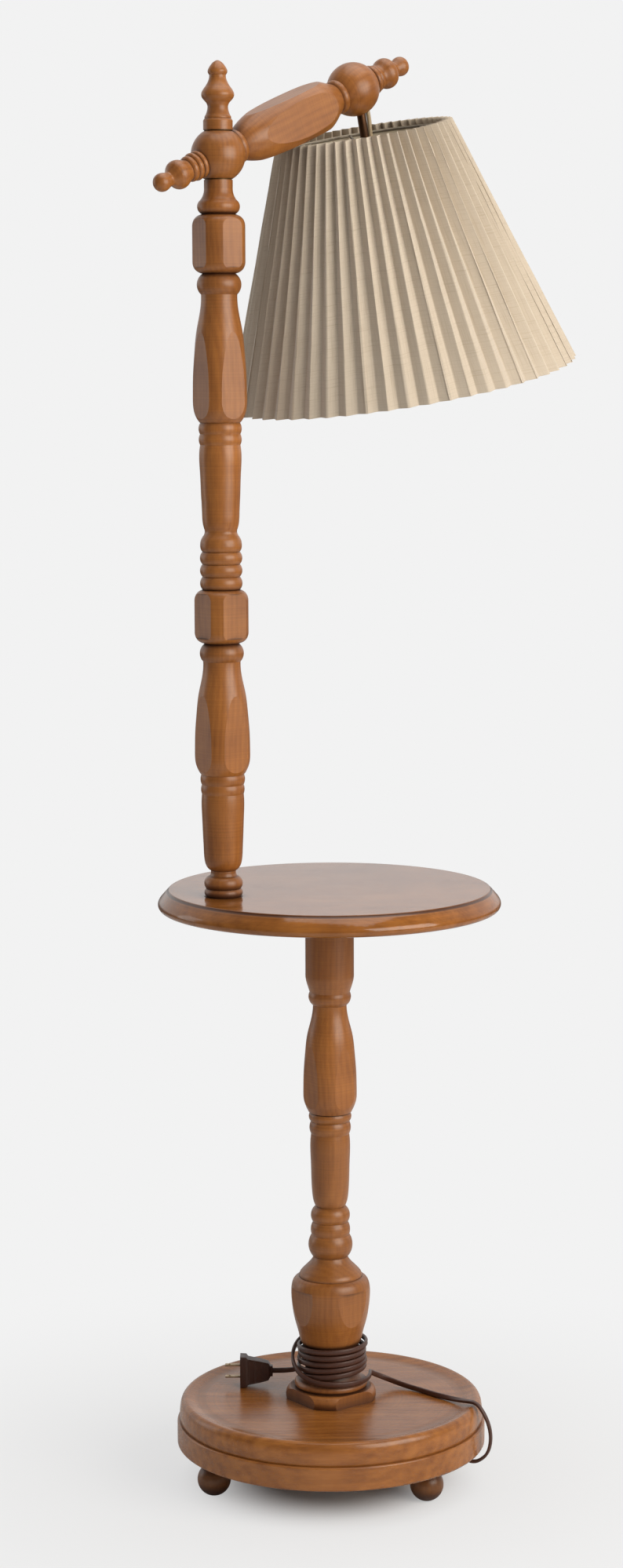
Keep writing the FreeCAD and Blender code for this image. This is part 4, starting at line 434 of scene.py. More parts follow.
def shade_linen(name):
    """Plain-woven linen, read from the cloth's own UV map, in metres of flat cloth."""
    settings = bpy.context.scene.lamp_shade
    make = Finish(name)
    flat = make.node("ShaderNodeUVMap", {"uv_map": "cloth"})
    across = make.along(flat, (1, 0, 0))
    down = make.along(flat, (0, 1, 0))
    thread = 2 * math.pi / 0.00062
    warp = (across * thread).sine()
    weft = (down * thread).sine()
    weave = warp * weft * 0.5 + 0.5
    slub_down = make.noise(make.joined(across * 900.0, down * 22.0), 1.0, 3.0, 0.6)
    slub_across = make.noise(make.joined(across * 22.0, down * 900.0), 1.0, 3.0, 0.6)
    slub = slub_down.high(slub_across)
    cloud = make.noise(make.joined(across * 9.0, down * 7.0), 1.0, 2.0)
    dark = weave * 0.22 + slub.fade(0.48, 0.72) * 0.42 + cloud * 0.25 - 0.10
    tone = make.mix(dark, settings.colour, settings.thread_colour)
    return make.surface(Base_Color=tone, Roughness=0.86, Sheen_Weight=0.25, Sheen_Roughness=0.5,
                        Normal=make.bump(weave * 0.5 + slub * 0.7, 0.00016, 0.5))


# ---------------- modelling helpers
def deselect():
    if bpy.context.object and bpy.context.object.mode != "OBJECT":
        bpy.ops.object.mode_set(mode="OBJECT")
    bpy.ops.object.select_all(action="DESELECT")


def focus(piece):
    """Makes one piece the only selected and the active one."""
    deselect()
    piece.select_set(True)
    bpy.context.view_layer.objects.active = piece


def dress(piece, material):
    """Gives a piece one material."""
    piece.data.materials.clear()
    piece.data.materials.append(material)


def pick_faces(piece, test):
    """In edit mode, selects the faces whose middle and normal pass the test, and nothing else."""
    bpy.ops.mesh.select_mode(type="FACE")
    bpy.ops.mesh.select_all(action="DESELECT")
    mesh = bmesh.from_edit_mesh(piece.data)
    for face in mesh.faces:
        if test(face.calc_center_median(), face.normal):
            face.select_set(True)
    bmesh.update_edit_mesh(piece.data)


def settle(piece, placing=None):
    """Puts a piece's place into its mesh, so that its object lies at the origin."""
    focus(piece)
    if placing is not None:
        piece.matrix_world = placing @ piece.matrix_world
    bpy.ops.object.transform_apply(location=True, rotation=True, scale=True)
    return piece


def apply_modifier(piece, kind, **settings):
    """Adds a modifier, sets it and applies it."""
    focus(piece)
    modifier = piece.modifiers.new(kind.title(), kind)
    for name, value in settings.items():
        setattr(modifier, name, value)
    bpy.ops.object.modifier_apply(modifier=modifier.name)


def smooth(piece, angle):
    """Smooths all edges that bend by less than this many degrees."""
    focus(piece)
    bpy.ops.object.shade_smooth_by_angle(angle=math.radians(angle))


def cuboid(name, middle, size):
    """A cuboid at its place, the start of a piece."""
    deselect()
    bpy.ops.mesh.primitive_cube_add(size=1.0, location=middle)
    piece = bpy.context.object
    piece.name = name
    piece.data.name = name
    piece.scale = size
    return settle(piece)


def ring_faces(rings, count):
    """Faces that join each closed ring of this many points to the next."""
    faces = []
    for ring in range(rings - 1):
        for number in range(count):
            a, b = ring * count + number, ring * count + (number + 1) % count
            faces.append((a, b, b + count, a + count))
    return faces


def modelled(name, vertices, faces):
    """A new piece with these points and faces, all faces turned outwards."""
    mesh = bpy.data.meshes.new(name)
    mesh.from_pydata(vertices, [], faces)
    piece = bpy.data.objects.new(name, mesh)
    bpy.context.scene.collection.objects.link(piece)
    focus(piece)
    bpy.ops.object.mode_set(mode="EDIT")
    bpy.ops.mesh.select_all(action="SELECT")
    bpy.ops.mesh.normals_make_consistent(inside=False)
    bpy.ops.object.mode_set(mode="OBJECT")
    return piece


def unwrap(piece, layer_name, flattened):
    """Writes a UV map; flattened turns the point numbers of a face into places on the map."""
    mesh = piece.data
    layer = mesh.uv_layers.new(name=layer_name)
    for polygon in mesh.polygons:
        spots = flattened([mesh.loops[corner].vertex_index for corner in polygon.loop_indices])
        for corner, spot in zip(polygon.loop_indices, spots):
            layer.data[corner].uv = spot


# ---------------- cord
# in degrees and millimetres; the turns' heights are above the base
CORD_FRAME = math.radians(24.5)  # the cord's route is given across and into this view
CORD_HEADING = math.radians(-41.5)  # where the cord comes out under the base
CORD_EXIT_RADIUS = 148.0  # and how far out that is
CORD_RADIUS = 2.6  # of the modelled cord, whose middle lies this far above the base
BUSHING_LIP = 1.2  # how far the bushing stands out below the base
WINDING_START = 24.0  # height at which the low outer turn begins
WINDING_RISE = 2.0  # how much it rises in a quarter turn
WINDING_CLIMB = (105.0, 255.0)  # angles between which it climbs over the rest
WINDING_DRAWN_IN = (245.0, 405.0)  # and between which it is drawn in to their radius
WINDING_PEAK = 450.0  # angle of the highest point, from which the turns come down
WINDING_TOP = 58.8  # height of that point
WINDING_PITCH = 6.6  # drop from turn to turn
WINDING_SWAY = 0.7  # slow change of the turns' radius
WINDING_LEAN = 1.2  # how far the turns stand off on the right
WINDING_FAN = 2.4  # how far the last turn tilts, up on the right
WINDING_END = 1980.0  # angle at which the cord leaves the neck
WINDING_STEP = 30.0  # angle from one point of the turns to the next
TURN_CUT = math.cos(math.radians(WINDING_STEP / 2))  # how far the spline cuts inside a turn's points
PLUG_PLACE = (-62.0, 38.0)  # where the cord enters the plug, across and into the view
PLUG_HEIGHT = 17.0  # and how far above the base
FLEX_TURNS = (0.085, 0.175)  # metres along the cord between which its broad side turns upright
FLEX_WEB = 0.84  # depth of the groove's floor, as a share of a core's radius
FLEX_POINTS = 20  # round the cord
FLEX_DETAIL = 8  # steps from one point of its route to the next


def seen(right, away, height):
    """A point across and into the view, and above the floor, from millimetres."""
    return MM * Vector((right * math.cos(CORD_FRAME) + away * math.sin(CORD_FRAME),
                        away * math.cos(CORD_FRAME) - right * math.sin(CORD_FRAME), height))


def rim(outwards, height):
    """A point in the upright plane in which the cord leaves the base, from millimetres."""
    radius = CORD_EXIT_RADIUS + outwards
    return MM * Vector((radius * math.cos(CORD_HEADING), radius * math.sin(CORD_HEADING), height))


def soft_step(value, low, high):
    share = max(0.0, min(1.0, (value - low) / (high - low)))
    return share * share * (3 - 2 * share)


def turn_point(angle, settings):
    """A point of the turns: one low outer turn climbs over the rest, which come down again."""
    turn = math.radians(angle)
    outer = settings.first_turn_radius / MM
    climbed = soft_step(angle, *WINDING_CLIMB)
    drawn_in = soft_step(angle, *WINDING_DRAWN_IN)
    low = WINDING_START + WINDING_RISE * angle / 90.0 * (1 - climbed)
    high = WINDING_TOP - WINDING_PITCH * (angle - WINDING_PEAK) / 360.0
    inner = (settings.turns_radius / MM + WINDING_LEAN * math.cos(turn)
             + WINDING_SWAY * math.sin(2.3 * turn))
    radius = (outer + (inner - outer) * drawn_in) / TURN_CUT
    fanned = soft_step(angle, WINDING_PEAK, WINDING_END)
    height = low + (high - low) * climbed + WINDING_FAN * fanned * math.cos(turn)
    return seen(radius * math.cos(turn), -radius * math.sin(turn), BASE_TOP / MM + height)


def cord_route(settings):
    """The cord's points, from the bushing round the rim, over the base, round the neck, to the plug."""
    low = BASE_BOTTOM / MM
    top = BASE_TOP / MM + CORD_RADIUS
    neck = BASE_TOP / MM + PLUG_HEIGHT
    run = [rim(0, low - BUSHING_LIP), rim(0.4, low - 6.2), rim(4.2, low - 9.4), rim(13.0, low - 8.6),
           rim(23.5, low + 0.5), rim(27.0, low + 16.0), rim(25.0, low + 31.0), rim(19.0, low + 44.5),
           seen(152, -44, top + 5.2), seen(140.5, -32, top + 2.9), seen(127.5, -17, top + 0.5),
           seen(112.5, -4.5, top + 0.3), seen(97, 12, top + 0.2), seen(80, 25, top + 1.2),
           seen(64, 33, top + 5.0), seen(51, 31, top + 11.0), seen(43.5, 22, top + 17.0),
           seen(41.6, 13, top + 21.2)]
    count = int(WINDING_END / WINDING_STEP)
    turns = [turn_point(WINDING_STEP * number, settings) for number in range(count + 1)]
    right, away = PLUG_PLACE
    tail = [seen(-33.8, 12, neck + 10.4), seen(-36.5, 22, neck + 7.0), seen(-42.5, 31.5, neck + 2.9),
            seen(right + 10.0, away, neck), seen(right, away, neck)]
    return run + turns + tail


def spline_line(points, resolution):
    """The points along a smooth NURBS line that has the given control points."""
    curve = bpy.data.curves.new("route", "CURVE")
    curve.dimensions = "3D"
    spline = curve.splines.new("NURBS")
    spline.points.add(len(points) - 1)
    for target, point in zip(spline.points, points):
        target.co = (*point, 1.0)
    spline.order_u = 3
    spline.use_endpoint_u = True
    spline.resolution_u = resolution
    holder = bpy.data.objects.new("route", curve)
    bpy.context.scene.collection.objects.link(holder)
    bpy.context.view_layer.update()
    evaluated = holder.evaluated_get(bpy.context.evaluated_depsgraph_get())
    line = bpy.data.meshes.new_from_object(evaluated)
    places = [vertex.co.copy() for vertex in line.vertices]
    bpy.data.meshes.remove(line)
    bpy.data.objects.remove(holder)
    bpy.data.curves.remove(curve)
    return places


def flex_profile(width, thickness):
    """The outline of a twin flex: two round cores with a groove between them on each side."""
    core = thickness / 2
    offset = width / 2 - core
    outline = []
    for number in range(FLEX_POINTS):
        angle = 2 * math.pi * number / FLEX_POINTS
        side = 1 if math.sin(angle) > 0 else -1
        if abs(math.sin(angle)) < 1e-6:
            outline.append((core * FLEX_WEB * math.copysign(1, math.cos(angle)), 0.0))
        else:
            outline.append((core * math.cos(angle), side * offset + core * math.sin(angle)))
    return outline


class OBJECT_OT_lamp_cord(bpy.types.Operator):
    """Lay the mains cord out of the base, round the neck of the pedestal and to its plug"""
    bl_idname = "object.lamp_cord"
    bl_label = "Mains cord"

    def execute(self, context):
        settings = context.scene.lamp_cord
        line = spline_line(cord_route(settings), FLEX_DETAIL)
        across_rim = Vector((-math.sin(CORD_HEADING), math.cos(CORD_HEADING), 0))
        outline = flex_profile(settings.width, settings.thickness)
        travelled, vertices, steps = 0.0, [], []
        for number, point in enumerate(line):
            if number:
                travelled += (point - line[number - 1]).length
            steps.append(travelled)
            before, after = line[max(number - 1, 0)], line[min(number + 1, len(line) - 1)]
            heading = (after - before).normalized()
            turned = soft_step(travelled, *FLEX_TURNS)
            wide = across_rim * (1 - turned) + UP * turned
            wide = (wide - heading * wide.dot(heading)).normalized()
            side = heading.cross(wide)
            for flat, broad in outline:
                vertices.append(point + side * flat + wide * broad)
        count = len(outline)
        faces = ring_faces(len(line), count)
        faces.append(tuple(range(count))[::-1])
        faces.append(tuple(range((len(line) - 1) * count, len(line) * count)))
        cord = modelled("mains_cord", vertices, faces)
        unwrap(cord, "flex", lambda points: [(point % count / count, steps[point // count])
                                             for point in points])
        smooth(cord, 60.0)
        dress(cord, moulded("cord_plastic", settings.colour, 0.36))
        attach(cord, "stand")
        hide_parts("cord_run", "cord_winding", "cord_tail")
        return {"FINISHED"}


# ---------------- plug
# the body's sections: share of the length, of the width and of the thickness
PLUG_FOOT = (0.06, 0.34, 0.42)
PLUG_SECTIONS = ((0.08, 0.36, 0.58), (0.13, 0.56, 0.74), (0.32, 0.66, 0.80), (0.56, 0.76, 0.84),
                 (0.76, 0.84, 0.88), (0.81, 0.98, 0.98), (1.0, 1.0, 1.0))
PLUG_GRIP = (0.22, 0.68)  # shares of the length between which fingers hold it
GRIP_EDGE = 1.1 * MM
PLUG_ROUNDING = 1.5 * MM
BLADE_THICKNESS = 1.5 * MM
BLADE_WIDTH = 6.3 * MM
BLADE_HOLE_RADIUS = 1.5 * MM
BLADE_ROUNDING = 0.35 * MM


class OBJECT_OT_lamp_plug(bpy.types.Operator):
    """Model the moulded plug: a flared grip with a flange, pressed finger grips, a short neck and two
    blades
    """
    bl_idname = "object.lamp_plug"
    bl_label = "Plug"

    def body(self, settings):
        """The moulding, built along +Z from its neck, its width along X and its thickness along Y."""
        length, width, thick = settings.length, settings.width, settings.thickness
        share, across, through = PLUG_FOOT
        reached, wide, deep = length * share, width * across, thick * through
        piece = cuboid("plug_moulding", (0, 0, reached / 2), (wide, deep, reached))
        focus(piece)
        bpy.ops.object.mode_set(mode="EDIT")
        for share, across, through in PLUG_SECTIONS:
            level = reached
            pick_faces(piece, lambda middle, normal: normal.z > 0.9 and middle.z > level - 1e-5)
            bpy.ops.mesh.extrude_region_move(
                TRANSFORM_OT_translate={"value": (0, 0, length * share - reached)})
            bpy.ops.transform.resize(value=(width * across / wide, thick * through / deep, 1))
            reached, wide, deep = length * share, width * across, thick * through
        # shallow finger grips pressed into both broad sides
        low, high = PLUG_GRIP
        pick_faces(piece, lambda middle, normal: abs(normal.y) > 0.9
                   and low * length < middle.z < high * length)
        bpy.ops.mesh.inset(thickness=GRIP_EDGE, use_individual=True)
        bpy.ops.transform.resize(value=(1, 0.90, 1))
        bpy.ops.object.mode_set(mode="OBJECT")
        apply_modifier(piece, "BEVEL", width=PLUG_ROUNDING, segments=3, limit_method="ANGLE",
                       angle_limit=math.radians(30))
        apply_modifier(piece, "SUBSURF", levels=1, render_levels=1)
        smooth(piece, 40.0)
        return piece

    def blades(self, settings):
        """Two flat blades with a hole near the tip, joined into one piece."""
        made = []
        reach = settings.blade_length
        for side in (-1, 1):
            across = side * settings.blade_spacing / 2
            blade = cuboid("plug_blades", (across, 0, settings.length + reach / 2 - MM),
                           (BLADE_THICKNESS, BLADE_WIDTH, reach + 2 * MM))
            deselect()
            bpy.ops.mesh.primitive_cylinder_add(vertices=24, radius=BLADE_HOLE_RADIUS, depth=8 * MM,
                                                location=(across, 0, settings.length + reach * 0.72),
                                                rotation=(0, math.radians(90), 0))
            drill = settle(bpy.context.object)
            apply_modifier(blade, "BOOLEAN", operation="DIFFERENCE", object=drill, solver="EXACT")
            bpy.data.objects.remove(drill)
            apply_modifier(blade, "BEVEL", width=BLADE_ROUNDING, segments=2, limit_method="ANGLE",
                           angle_limit=math.radians(40))
            made.append(blade)
        focus(made[0])
        made[1].select_set(True)
        bpy.ops.object.join()
        pair = bpy.context.object
        pair.name = "plug_blades"
        smooth(pair, 40.0)
        return pair

    def execute(self, context):
        settings = context.scene.lamp_plug
        body, pair = self.body(settings), self.blades(settings)
        left = -seen(1, 0, 0).normalized()
        depth = UP.cross(left)
        placing = (Matrix.Translation(seen(*PLUG_PLACE, BASE_TOP / MM + PLUG_HEIGHT))
                   @ Matrix((UP, depth, left)).transposed().to_4x4())
        for piece in (body, pair):
            settle(piece, placing)
            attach(piece, "stand")
        dress(body, moulded("plug_plastic", settings.colour, 0.40))
        dress(pair, metal("blade_metal", (0.42, 0.31, 0.19), 0.32, 0.5))
        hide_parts("plug_body")
        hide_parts("plug_prongs")
        return {"FINISHED"}


# ---------------- shade cloth
CLOTH_ROWS = 30  # from the top rim to the bottom rim
PANEL_SHARES = (0.0, 0.035, 0.09, 0.2, 0.4, 0.6, 0.8, 0.91, 0.965)
FOLD_ROUNDING = 0.075  # share of a panel that bends round each of its folds
FOLD_LEAN = 0.10  # how far a fold may lean over, in panels
CLOTH_SLACK = 0.5 * MM  # how far an outer fold may sag inwards
CLOTH_BELLY = 0.25 * MM  # how far a panel may bulge
CLOTH_INSET = 0.15 * MM  # how far the folds stay within the modelled ones
RIM_BAND = 0.001  # a modelled corner this near the end of the cloth is on its rim


def panel_height(share):
    """How high a panel stands between its outer fold (1) and its inner fold (0)."""
    if share < FOLD_ROUNDING:
        return 1 - FOLD_ROUNDING / 2 - share ** 2 / (2 * FOLD_ROUNDING)
    if share > 1 - FOLD_ROUNDING:
        return FOLD_ROUNDING / 2 + (1 - share) ** 2 / (2 * FOLD_ROUNDING)
    return 1 - share


class OBJECT_OT_lamp_shade_cloth(bpy.types.Operator):
    """Fold the shade's pleated cloth over its liner"""
    bl_idname = "object.lamp_shade_cloth"
    bl_label = "Shade cloth"

    def execute(self, context):
        settings = context.scene.lamp_shade
        corners = [vertex.co - SHADE_HUB for vertex in frame["nodes"]["shade_pleats"].data.vertices]
        levels = [corner.dot(SHADE_DOWN) for corner in corners]
        top, bottom = min(levels), max(levels)

        def reach(corner):
            return (corner - SHADE_DOWN * corner.dot(SHADE_DOWN)).length

        top_radius = max(reach(c) for c, level in zip(corners, levels) if level < top + RIM_BAND)
        bottom_tip = max((c for c, level in zip(corners, levels) if level > bottom - RIM_BAND), key=reach)
        bottom_radius = reach(bottom_tip)
        forward = (bottom_tip - SHADE_DOWN * bottom_tip.dot(SHADE_DOWN)).normalized()
        sideways = SHADE_DOWN.cross(forward)
        pleats, panel = settings.pleats, settings.panel_width
        half = math.pi / pleats
        columns = []
        for fold in range(2 * pleats):
            for share in PANEL_SHARES:
                height = panel_height(share)
                outward = height if fold % 2 == 0 else 1 - height
                columns.append((fold, fold + share, outward))
        vertices, flat = [], []
        slant = math.hypot(bottom - top, bottom_radius - top_radius)
        for row in range(CLOTH_ROWS + 1):
            down = row / CLOTH_ROWS
            tip = top_radius + (bottom_radius - top_radius) * down
            depth = math.sqrt(max(panel ** 2 - (tip * math.sin(half)) ** 2, 1e-6))
            level = top + (bottom - top) * down
            for fold, around, outward in columns:
                lean = FOLD_LEAN * math.sin(fold * 2.39 + 1.0) * (0.35 + 0.65 * down)
                slack = CLOTH_SLACK * math.sin(fold * 1.71 + 5.0 * down) * math.sin(math.pi * down)
                belly = CLOTH_BELLY * math.sin(math.pi * outward) * math.sin(fold * 0.9 + 2.0)
                angle = (around + lean * outward) * half
                radius = tip - depth * (1 - outward) - CLOTH_INSET + belly
                radius -= abs(slack) * outward
                direction = forward * math.cos(angle) + sideways * math.sin(angle)
                vertices.append(SHADE_HUB + SHADE_DOWN * level + direction * radius)
                flat.append((around * panel, slant * down))

        def unfolded(points):
            spots = [flat[point] for point in points]
            wraps = max(s[0] for s in spots) - min(s[0] for s in spots) > panel * pleats
            return [(across + 2 * pleats * panel if wraps and across < panel * pleats else across, down)
                    for across, down in spots]

        cloth = modelled("shade_cloth", vertices, ring_faces(CLOTH_ROWS + 1, len(columns)))
        unwrap(cloth, "cloth", unfolded)
        apply_modifier(cloth, "SOLIDIFY", thickness=settings.cloth_thickness, offset=-1.0, use_rim=True)
        smooth(cloth, 50.0)
        dress(cloth, shade_linen("shade_linen"))
        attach(cloth, "shade")
        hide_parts("shade_pleats")
        return {"FINISHED"}


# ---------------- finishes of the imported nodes
# metres from growth ring to growth ring
TURNING_RINGS = 0.0052
ARM_RINGS = 0.0056
FOOT_RINGS = 0.005
BASE_RINGS = 0.0095
TABLE_RINGS = 0.011
FOOT_TONE = 0.55  # the feet are darker than the rest
# turned lines on the boards, as wood() takes them; the base's cove line is painted shade at the foot
# of the raised rim's inner slope
BASE_COVE_PAINTED_SHADE = (0.1375, 0.0095, 0.22, BASE_TOP - 0.002)
TABLE_STEP_LINE = (0.1681, 0.0020, 0.9, TABLE_TOP - 0.0035)


def stain_node(name, *look, **marks):
    """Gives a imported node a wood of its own."""
    dress(frame["nodes"][name], wood(name + "_wood", *look, **marks))



class OBJECT_OT_lamp_wood(bpy.types.Operator):
    """Stain and lacquer every wooden part, each with its own grain"""
    bl_idname = "object.lamp_wood"
    bl_label = "Wood finishes"

    def execute(self, context):
        pedestal = ("pedestal_plinth", "pedestal_neck", "pedestal_urn", "pedestal_spindle",
                    "pedestal_vase", "pedestal_top")
        column = ("column_foot", "column_spindle", "column_vase", "column_block", "column_rings",
                  "upper_spindle", "upper_vase", "upper_block", "column_cap", "top_finial",
                  "swivel_ball")
        for group, axis in ((pedestal, Vector((0, 0, 0))), (column, COLUMN_AXIS)):
            for number, name in enumerate(group):
                turn = 2.4 * number + len(group)
                pith = axis + Vector((math.cos(turn), math.sin(turn), 0)) * (0.042 + 0.006 * (number % 3))
                tone = 1.0 + 0.08 * math.sin(1.9 * number + len(group))
                stain_node(name, pith, UP, TURNING_RINGS, number + len(group), tone, lathe=UP)
        sideways = UP.cross(ARM_DIRECTION).normalized()
        for number, name in enumerate(("arm_body", "tip_ball", "tail_knob", "tip_knob")):
            pith = SWIVEL_CENTRE + sideways * 0.03 + UP * (0.045 + 0.004 * number)
            tone = 1.0 + 0.05 * math.sin(number)
            stain_node(name, pith, ARM_DIRECTION, ARM_RINGS, 31 + number, tone, lathe=ARM_DIRECTION)
        for number, name in enumerate(("ball_foot_1", "ball_foot_2", "ball_foot_3")):
            pith = node_middle(name) + Vector((0.03, 0.02, 0))
            stain_node(name, pith, UP, FOOT_RINGS, 51 + number, FOOT_TONE, lathe=UP)
        board_grain = Vector((math.cos(-CORD_FRAME), math.sin(-CORD_FRAME), 0))
        for number, (name, height, tone, lines) in enumerate((
                ("base_lower_board", BASE_BOTTOM, 1.04, ()),
                ("base_upper_board", BASE_TOP, 1.0, (BASE_COVE_PAINTED_SHADE,)))):
            pith = Vector((0.02, 0.03, height - 0.075 + 0.03 * number))
            stain_node(name, pith, board_grain, BASE_RINGS, 61 + number, tone, rough=-0.08, figure=0.6,
                       streaks=1.9, grime=0.35, turned_lines=lines)
        pith = Vector((0.03, -0.05, TABLE_TOP - 0.11))
        stain_node("table_top", pith, board_grain, TABLE_RINGS, 71, 0.92, rough=-0.23, streaks=0.9,
                   turned_lines=(TABLE_STEP_LINE,))
        return {"FINISHED"}


class OBJECT_OT_lamp_fittings(bpy.types.Operator):
    """Finish the pipes, nuts, screws, lamp holder, bulb, liner and the other fittings"""
    bl_idname = "object.lamp_fittings"
    bl_label = "Fittings' finishes"

    def execute(self, context):
        zinc = metal("zinc_plate", (0.55, 0.55, 0.53), 0.34)
        brass = metal("satin_brass", (0.60, 0.43, 0.17), 0.30, 0.35, tarnish=(0.22, 0.13, 0.05))
        aged = metal("aged_brass", (0.10, 0.055, 0.022), 0.42, 0.5, tarnish=(0.035, 0.018, 0.009))
        finishes = (
            (zinc, ("foot_screws", "table_flange", "table_screws", "pedestal_pipe", "column_pipe",
                    "arm_pipe", "pipe_nuts", "stop_pin")),
            # the wires' dark colour also stands in for the shade inside the shade's top rim: painted shade
            (metal("dull_wire", (0.20, 0.17, 0.13), 0.42, 0.6), ("shade_wires", "shade_spider")),
            (aged, ("swivel_washers",)),
            (brass, ("socket_cap", "socket_shell", "retaining_ring", "bulb_cap")),
            (metal("dark_bronze", (0.085, 0.042, 0.022), 0.38, 0.3), ("shade_stem",)),
            (cast_iron("weight_iron"), ("base_weight",)),
            (fibreboard("cover_fibreboard", (0.13, 0.075, 0.040)), ("base_cover", "channel_cover")),
            (fibreboard("grey_card", (0.10, 0.085, 0.065)), ("socket_liner",)),
            (moulded("bushing_rubber", (0.020, 0.014, 0.011), 0.62), ("cord_bushing",)),
            (moulded("black_moulding", (0.014, 0.013, 0.013), 0.24), ("socket_core", "switch_key")),
            (moulded("pale_flex", (0.42, 0.32, 0.19), 0.36), ("upper_lead", "lower_lead")),
            (frosted_glass("bulb_frost"), ("bulb_glass",)),
            (liner_paper("shade_liner_paper"), ("shade_liner",)),
        )
        for material, names in finishes:
            for name in names:
                dress(frame["nodes"][name], material)
        return {"FINISHED"}


# ---------------- camera and stage
FLOOR_RADIUS = 2.4
FLOOR_LIT = (0.74, 0.74, 0.74)  # the floor's own colour, where shadows fall on it
ROOM_GLOW = 0.888  # brightest part of the room that the lacquer mirrors
# soft boxes: place across, into and above the view, height looked at, size, colour, power
LIGHTS = (
    ("key_light", (1.95, -1.6, 1.65), 0.85, (2.3, 2.0), (1.0, 0.95, 0.87), "key_power"),
    ("rim_light", (-2.4, 0.75, 1.1), 0.85, (0.9, 1.7), (1.0, 0.99, 0.98), "fill_power"),
    ("top_light", (0.3, -0.1, 3.4), 0.0, (2.2, 2.2), (1.0, 0.99, 0.97), "top_power"),
)


def view_axes():
    """Level directions across the photograph's view and into it."""
    turn = bpy.context.scene.lamp_camera.heading
    return (Vector((math.cos(turn), -math.sin(turn), 0)),
            Vector((math.sin(turn), math.cos(turn), 0)))


class OBJECT_OT_lamp_camera(bpy.types.Operator):
    """Set up the camera where the photograph was taken from"""
    bl_idname = "object.lamp_camera"
    bl_label = "Camera"

    def execute(self, context):
        settings = context.scene.lamp_camera
        level, away = view_axes()
        forward = away * math.cos(settings.dip) - UP * math.sin(settings.dip)
        right = level * math.cos(settings.roll) + level.cross(forward) * math.sin(settings.roll)
        upward = right.cross(forward)
        deselect()
        bpy.ops.object.camera_add(location=settings.place)
        camera = bpy.context.object
        camera.name = "lamp_camera"
        camera.matrix_world = (Matrix.Translation(Vector(settings.place))
                               @ Matrix((right, upward, -forward)).transposed().to_4x4())
        camera.data.sensor_width = 36.0
        camera.data.lens = settings.lens
        camera.data.clip_start = 0.05
        camera.data.clip_end = 60.0
        context.scene.camera = camera
        return {"FINISHED"}


def soft_box(name, place, target, size, colour, power):
    """An area light that looks at a height on the lamp's middle."""
    right, away = view_axes()
    spot = right * place[0] + away * place[1] + UP * place[2]
    deselect()
    bpy.ops.object.light_add(type="AREA", location=spot)
    light = bpy.context.object
    light.name = name
    light.rotation_mode = "QUATERNION"
    light.rotation_quaternion = (UP * target - spot).to_track_quat("-Z", "Y")
    light.data.shape = "RECTANGLE"
    light.data.size, light.data.size_y = size
    light.data.energy = power
    light.data.color = colour


def studio_room(tree, settings):
    """A pale backdrop for the camera, and a room that is pale high behind the lamp and dim elsewhere."""
    make = Shading(tree)
    direction = make.node("ShaderNodeTexCoord")
    lifted = make.along(direction, UP).fade(-0.10, 0.08, 0.14, ROOM_GLOW)
    glow = make.along(direction, view_axes()[1]).fade(-0.2, 0.6, 0.10, lifted)
    mirrored = make.ray("Is Glossy Ray").high(make.ray("Is Transmission Ray"))

    def backdrop(colour, strength):
        return make.node("ShaderNodeBackground", None, {"Color": rgba(colour), "Strength": strength})

    room = backdrop((0.97, 0.98, 1.0), settings.room)
    shine = backdrop((1.0, 1.0, 1.0), glow)
    unseen = make.node("ShaderNodeMixShader", None, {0: mirrored, 1: room, 2: shine})
    shown = make.node("ShaderNodeMixShader", None,
                      {0: make.ray("Is Camera Ray"), 1: unseen, 2: backdrop(settings.pale, 1.0)})
    make.node("ShaderNodeOutputWorld", None, {"Surface": shown})


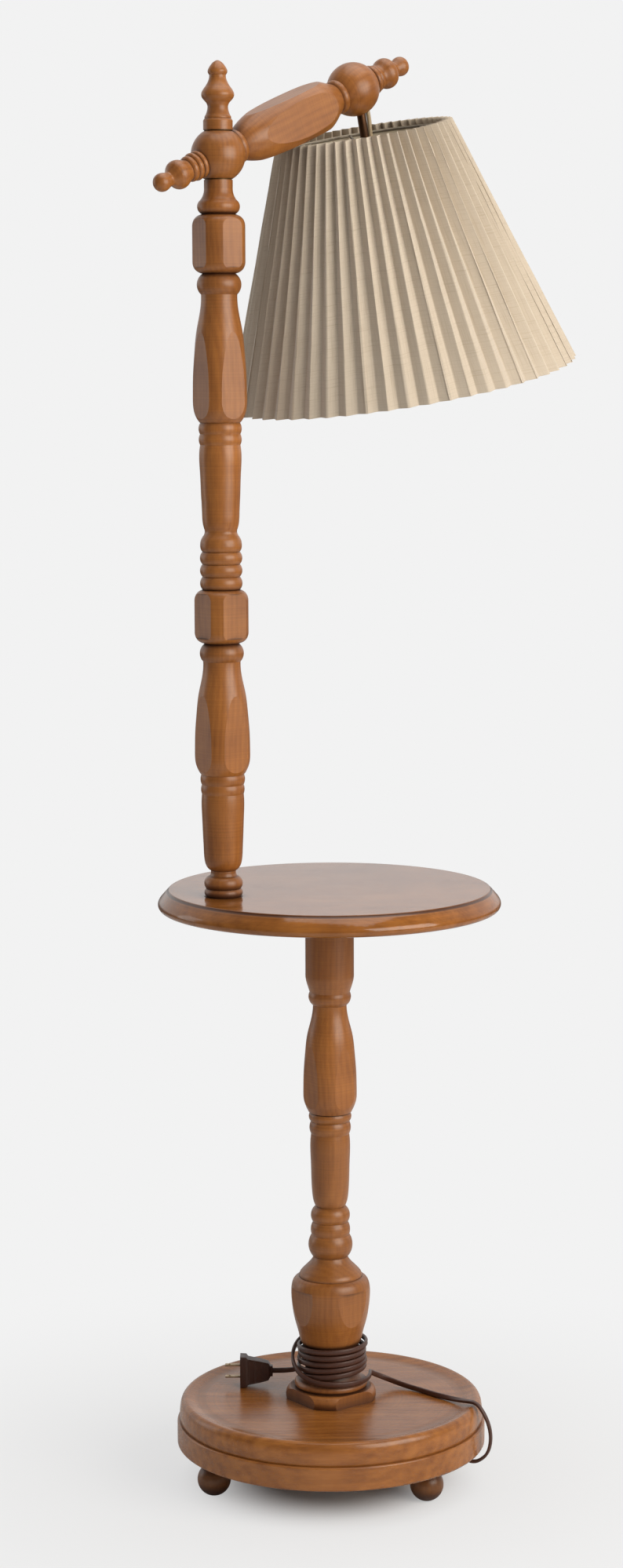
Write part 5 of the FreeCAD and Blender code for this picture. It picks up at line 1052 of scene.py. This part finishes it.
class OBJECT_OT_lamp_stage(bpy.types.Operator):
    """Set the pale floor, the background and the soft studio lights"""
    bl_idname = "object.lamp_stage"
    bl_label = "Stage"

    def execute(self, context):
        settings = context.scene.lamp_stage
        deselect()
        bpy.ops.mesh.primitive_circle_add(vertices=96, radius=FLOOR_RADIUS, fill_type="NGON",
                                          location=(0, 0, 0))
        floor = bpy.context.object
        floor.name = "floor"
        make = Finish("pale_floor")
        spread = make.vector("LENGTH", make.vector("MULTIPLY", make.place(), (1, 1, 0)), output=1)
        # the camera sees the shadow under the base, and less and less of it farther out
        clear = spread.fade(0.06, 0.16) * 0.72 + spread.fade(0.16, 0.75) * 0.28
        shown = make.node("ShaderNodeEmission", None, {"Color": rgba(settings.pale), "Strength": 1.0})
        lit = make.node("ShaderNodeBsdfDiffuse", None, {"Color": rgba(FLOOR_LIT)})
        mixed = make.node("ShaderNodeMixShader", None,
                          {0: clear * make.ray("Is Camera Ray"), 1: lit, 2: shown})
        make.node("ShaderNodeOutputMaterial", None, {"Surface": mixed})
        dress(floor, make.material)
        for name, place, target, size, colour, power in LIGHTS:
            soft_box(name, place, target, size, colour, getattr(settings, power))
        world = context.scene.world or bpy.data.worlds.new("studio")
        context.scene.world = world
        world.use_nodes = True
        studio_room(world.node_tree, settings)
        context.scene.view_settings.view_transform = "Standard"
        return {"FINISHED"}


class VIEW3D_PT_floor_lamp(bpy.types.Panel):
    """The lamp's pieces and their settings"""
    bl_idname = "VIEW3D_PT_floor_lamp"
    bl_label = "Floor Lamp"
    bl_space_type = "VIEW_3D"
    bl_region_type = "UI"
    bl_category = "Floor Lamp"

    def draw(self, context):
        for operator, settings, group in STEPS:
            box = self.layout.box()
            box.operator(operator.bl_idname)
            if settings:
                for name in group.__annotations__:
                    box.prop(getattr(context.scene, settings), name)


STEPS = (
    (OBJECT_OT_lamp_camera, "lamp_camera", LampCameraSettings),
    (OBJECT_OT_lamp_plug, "lamp_plug", LampPlugSettings),
    (OBJECT_OT_lamp_cord, "lamp_cord", LampCordSettings),
    (OBJECT_OT_lamp_shade_cloth, "lamp_shade", LampShadeSettings),
    (OBJECT_OT_lamp_wood, "lamp_wood", LampWoodSettings),
    (OBJECT_OT_lamp_fittings, None, None),
    (OBJECT_OT_lamp_stage, "lamp_stage", LampStageSettings),
)
OPERATORS = [operator for operator, _, _ in STEPS]
SETTINGS = [(name, group) for _, name, group in STEPS if name]
CLASSES = [*(group for _, group in SETTINGS), *OPERATORS, VIEW3D_PT_floor_lamp]


def register():
    for cls in CLASSES:
        bpy.utils.register_class(cls)
    for name, group in SETTINGS:
        setattr(bpy.types.Scene, name, PointerProperty(type=group))


def unregister():
    for name, _ in SETTINGS:
        delattr(bpy.types.Scene, name)
    for cls in reversed(CLASSES):
        bpy.utils.unregister_class(cls)


def main():
    register()
    for operator in OPERATORS:
        getattr(bpy.ops.object, operator.bl_idname.split(".")[1])()


if __name__ == "__main__":
    main()
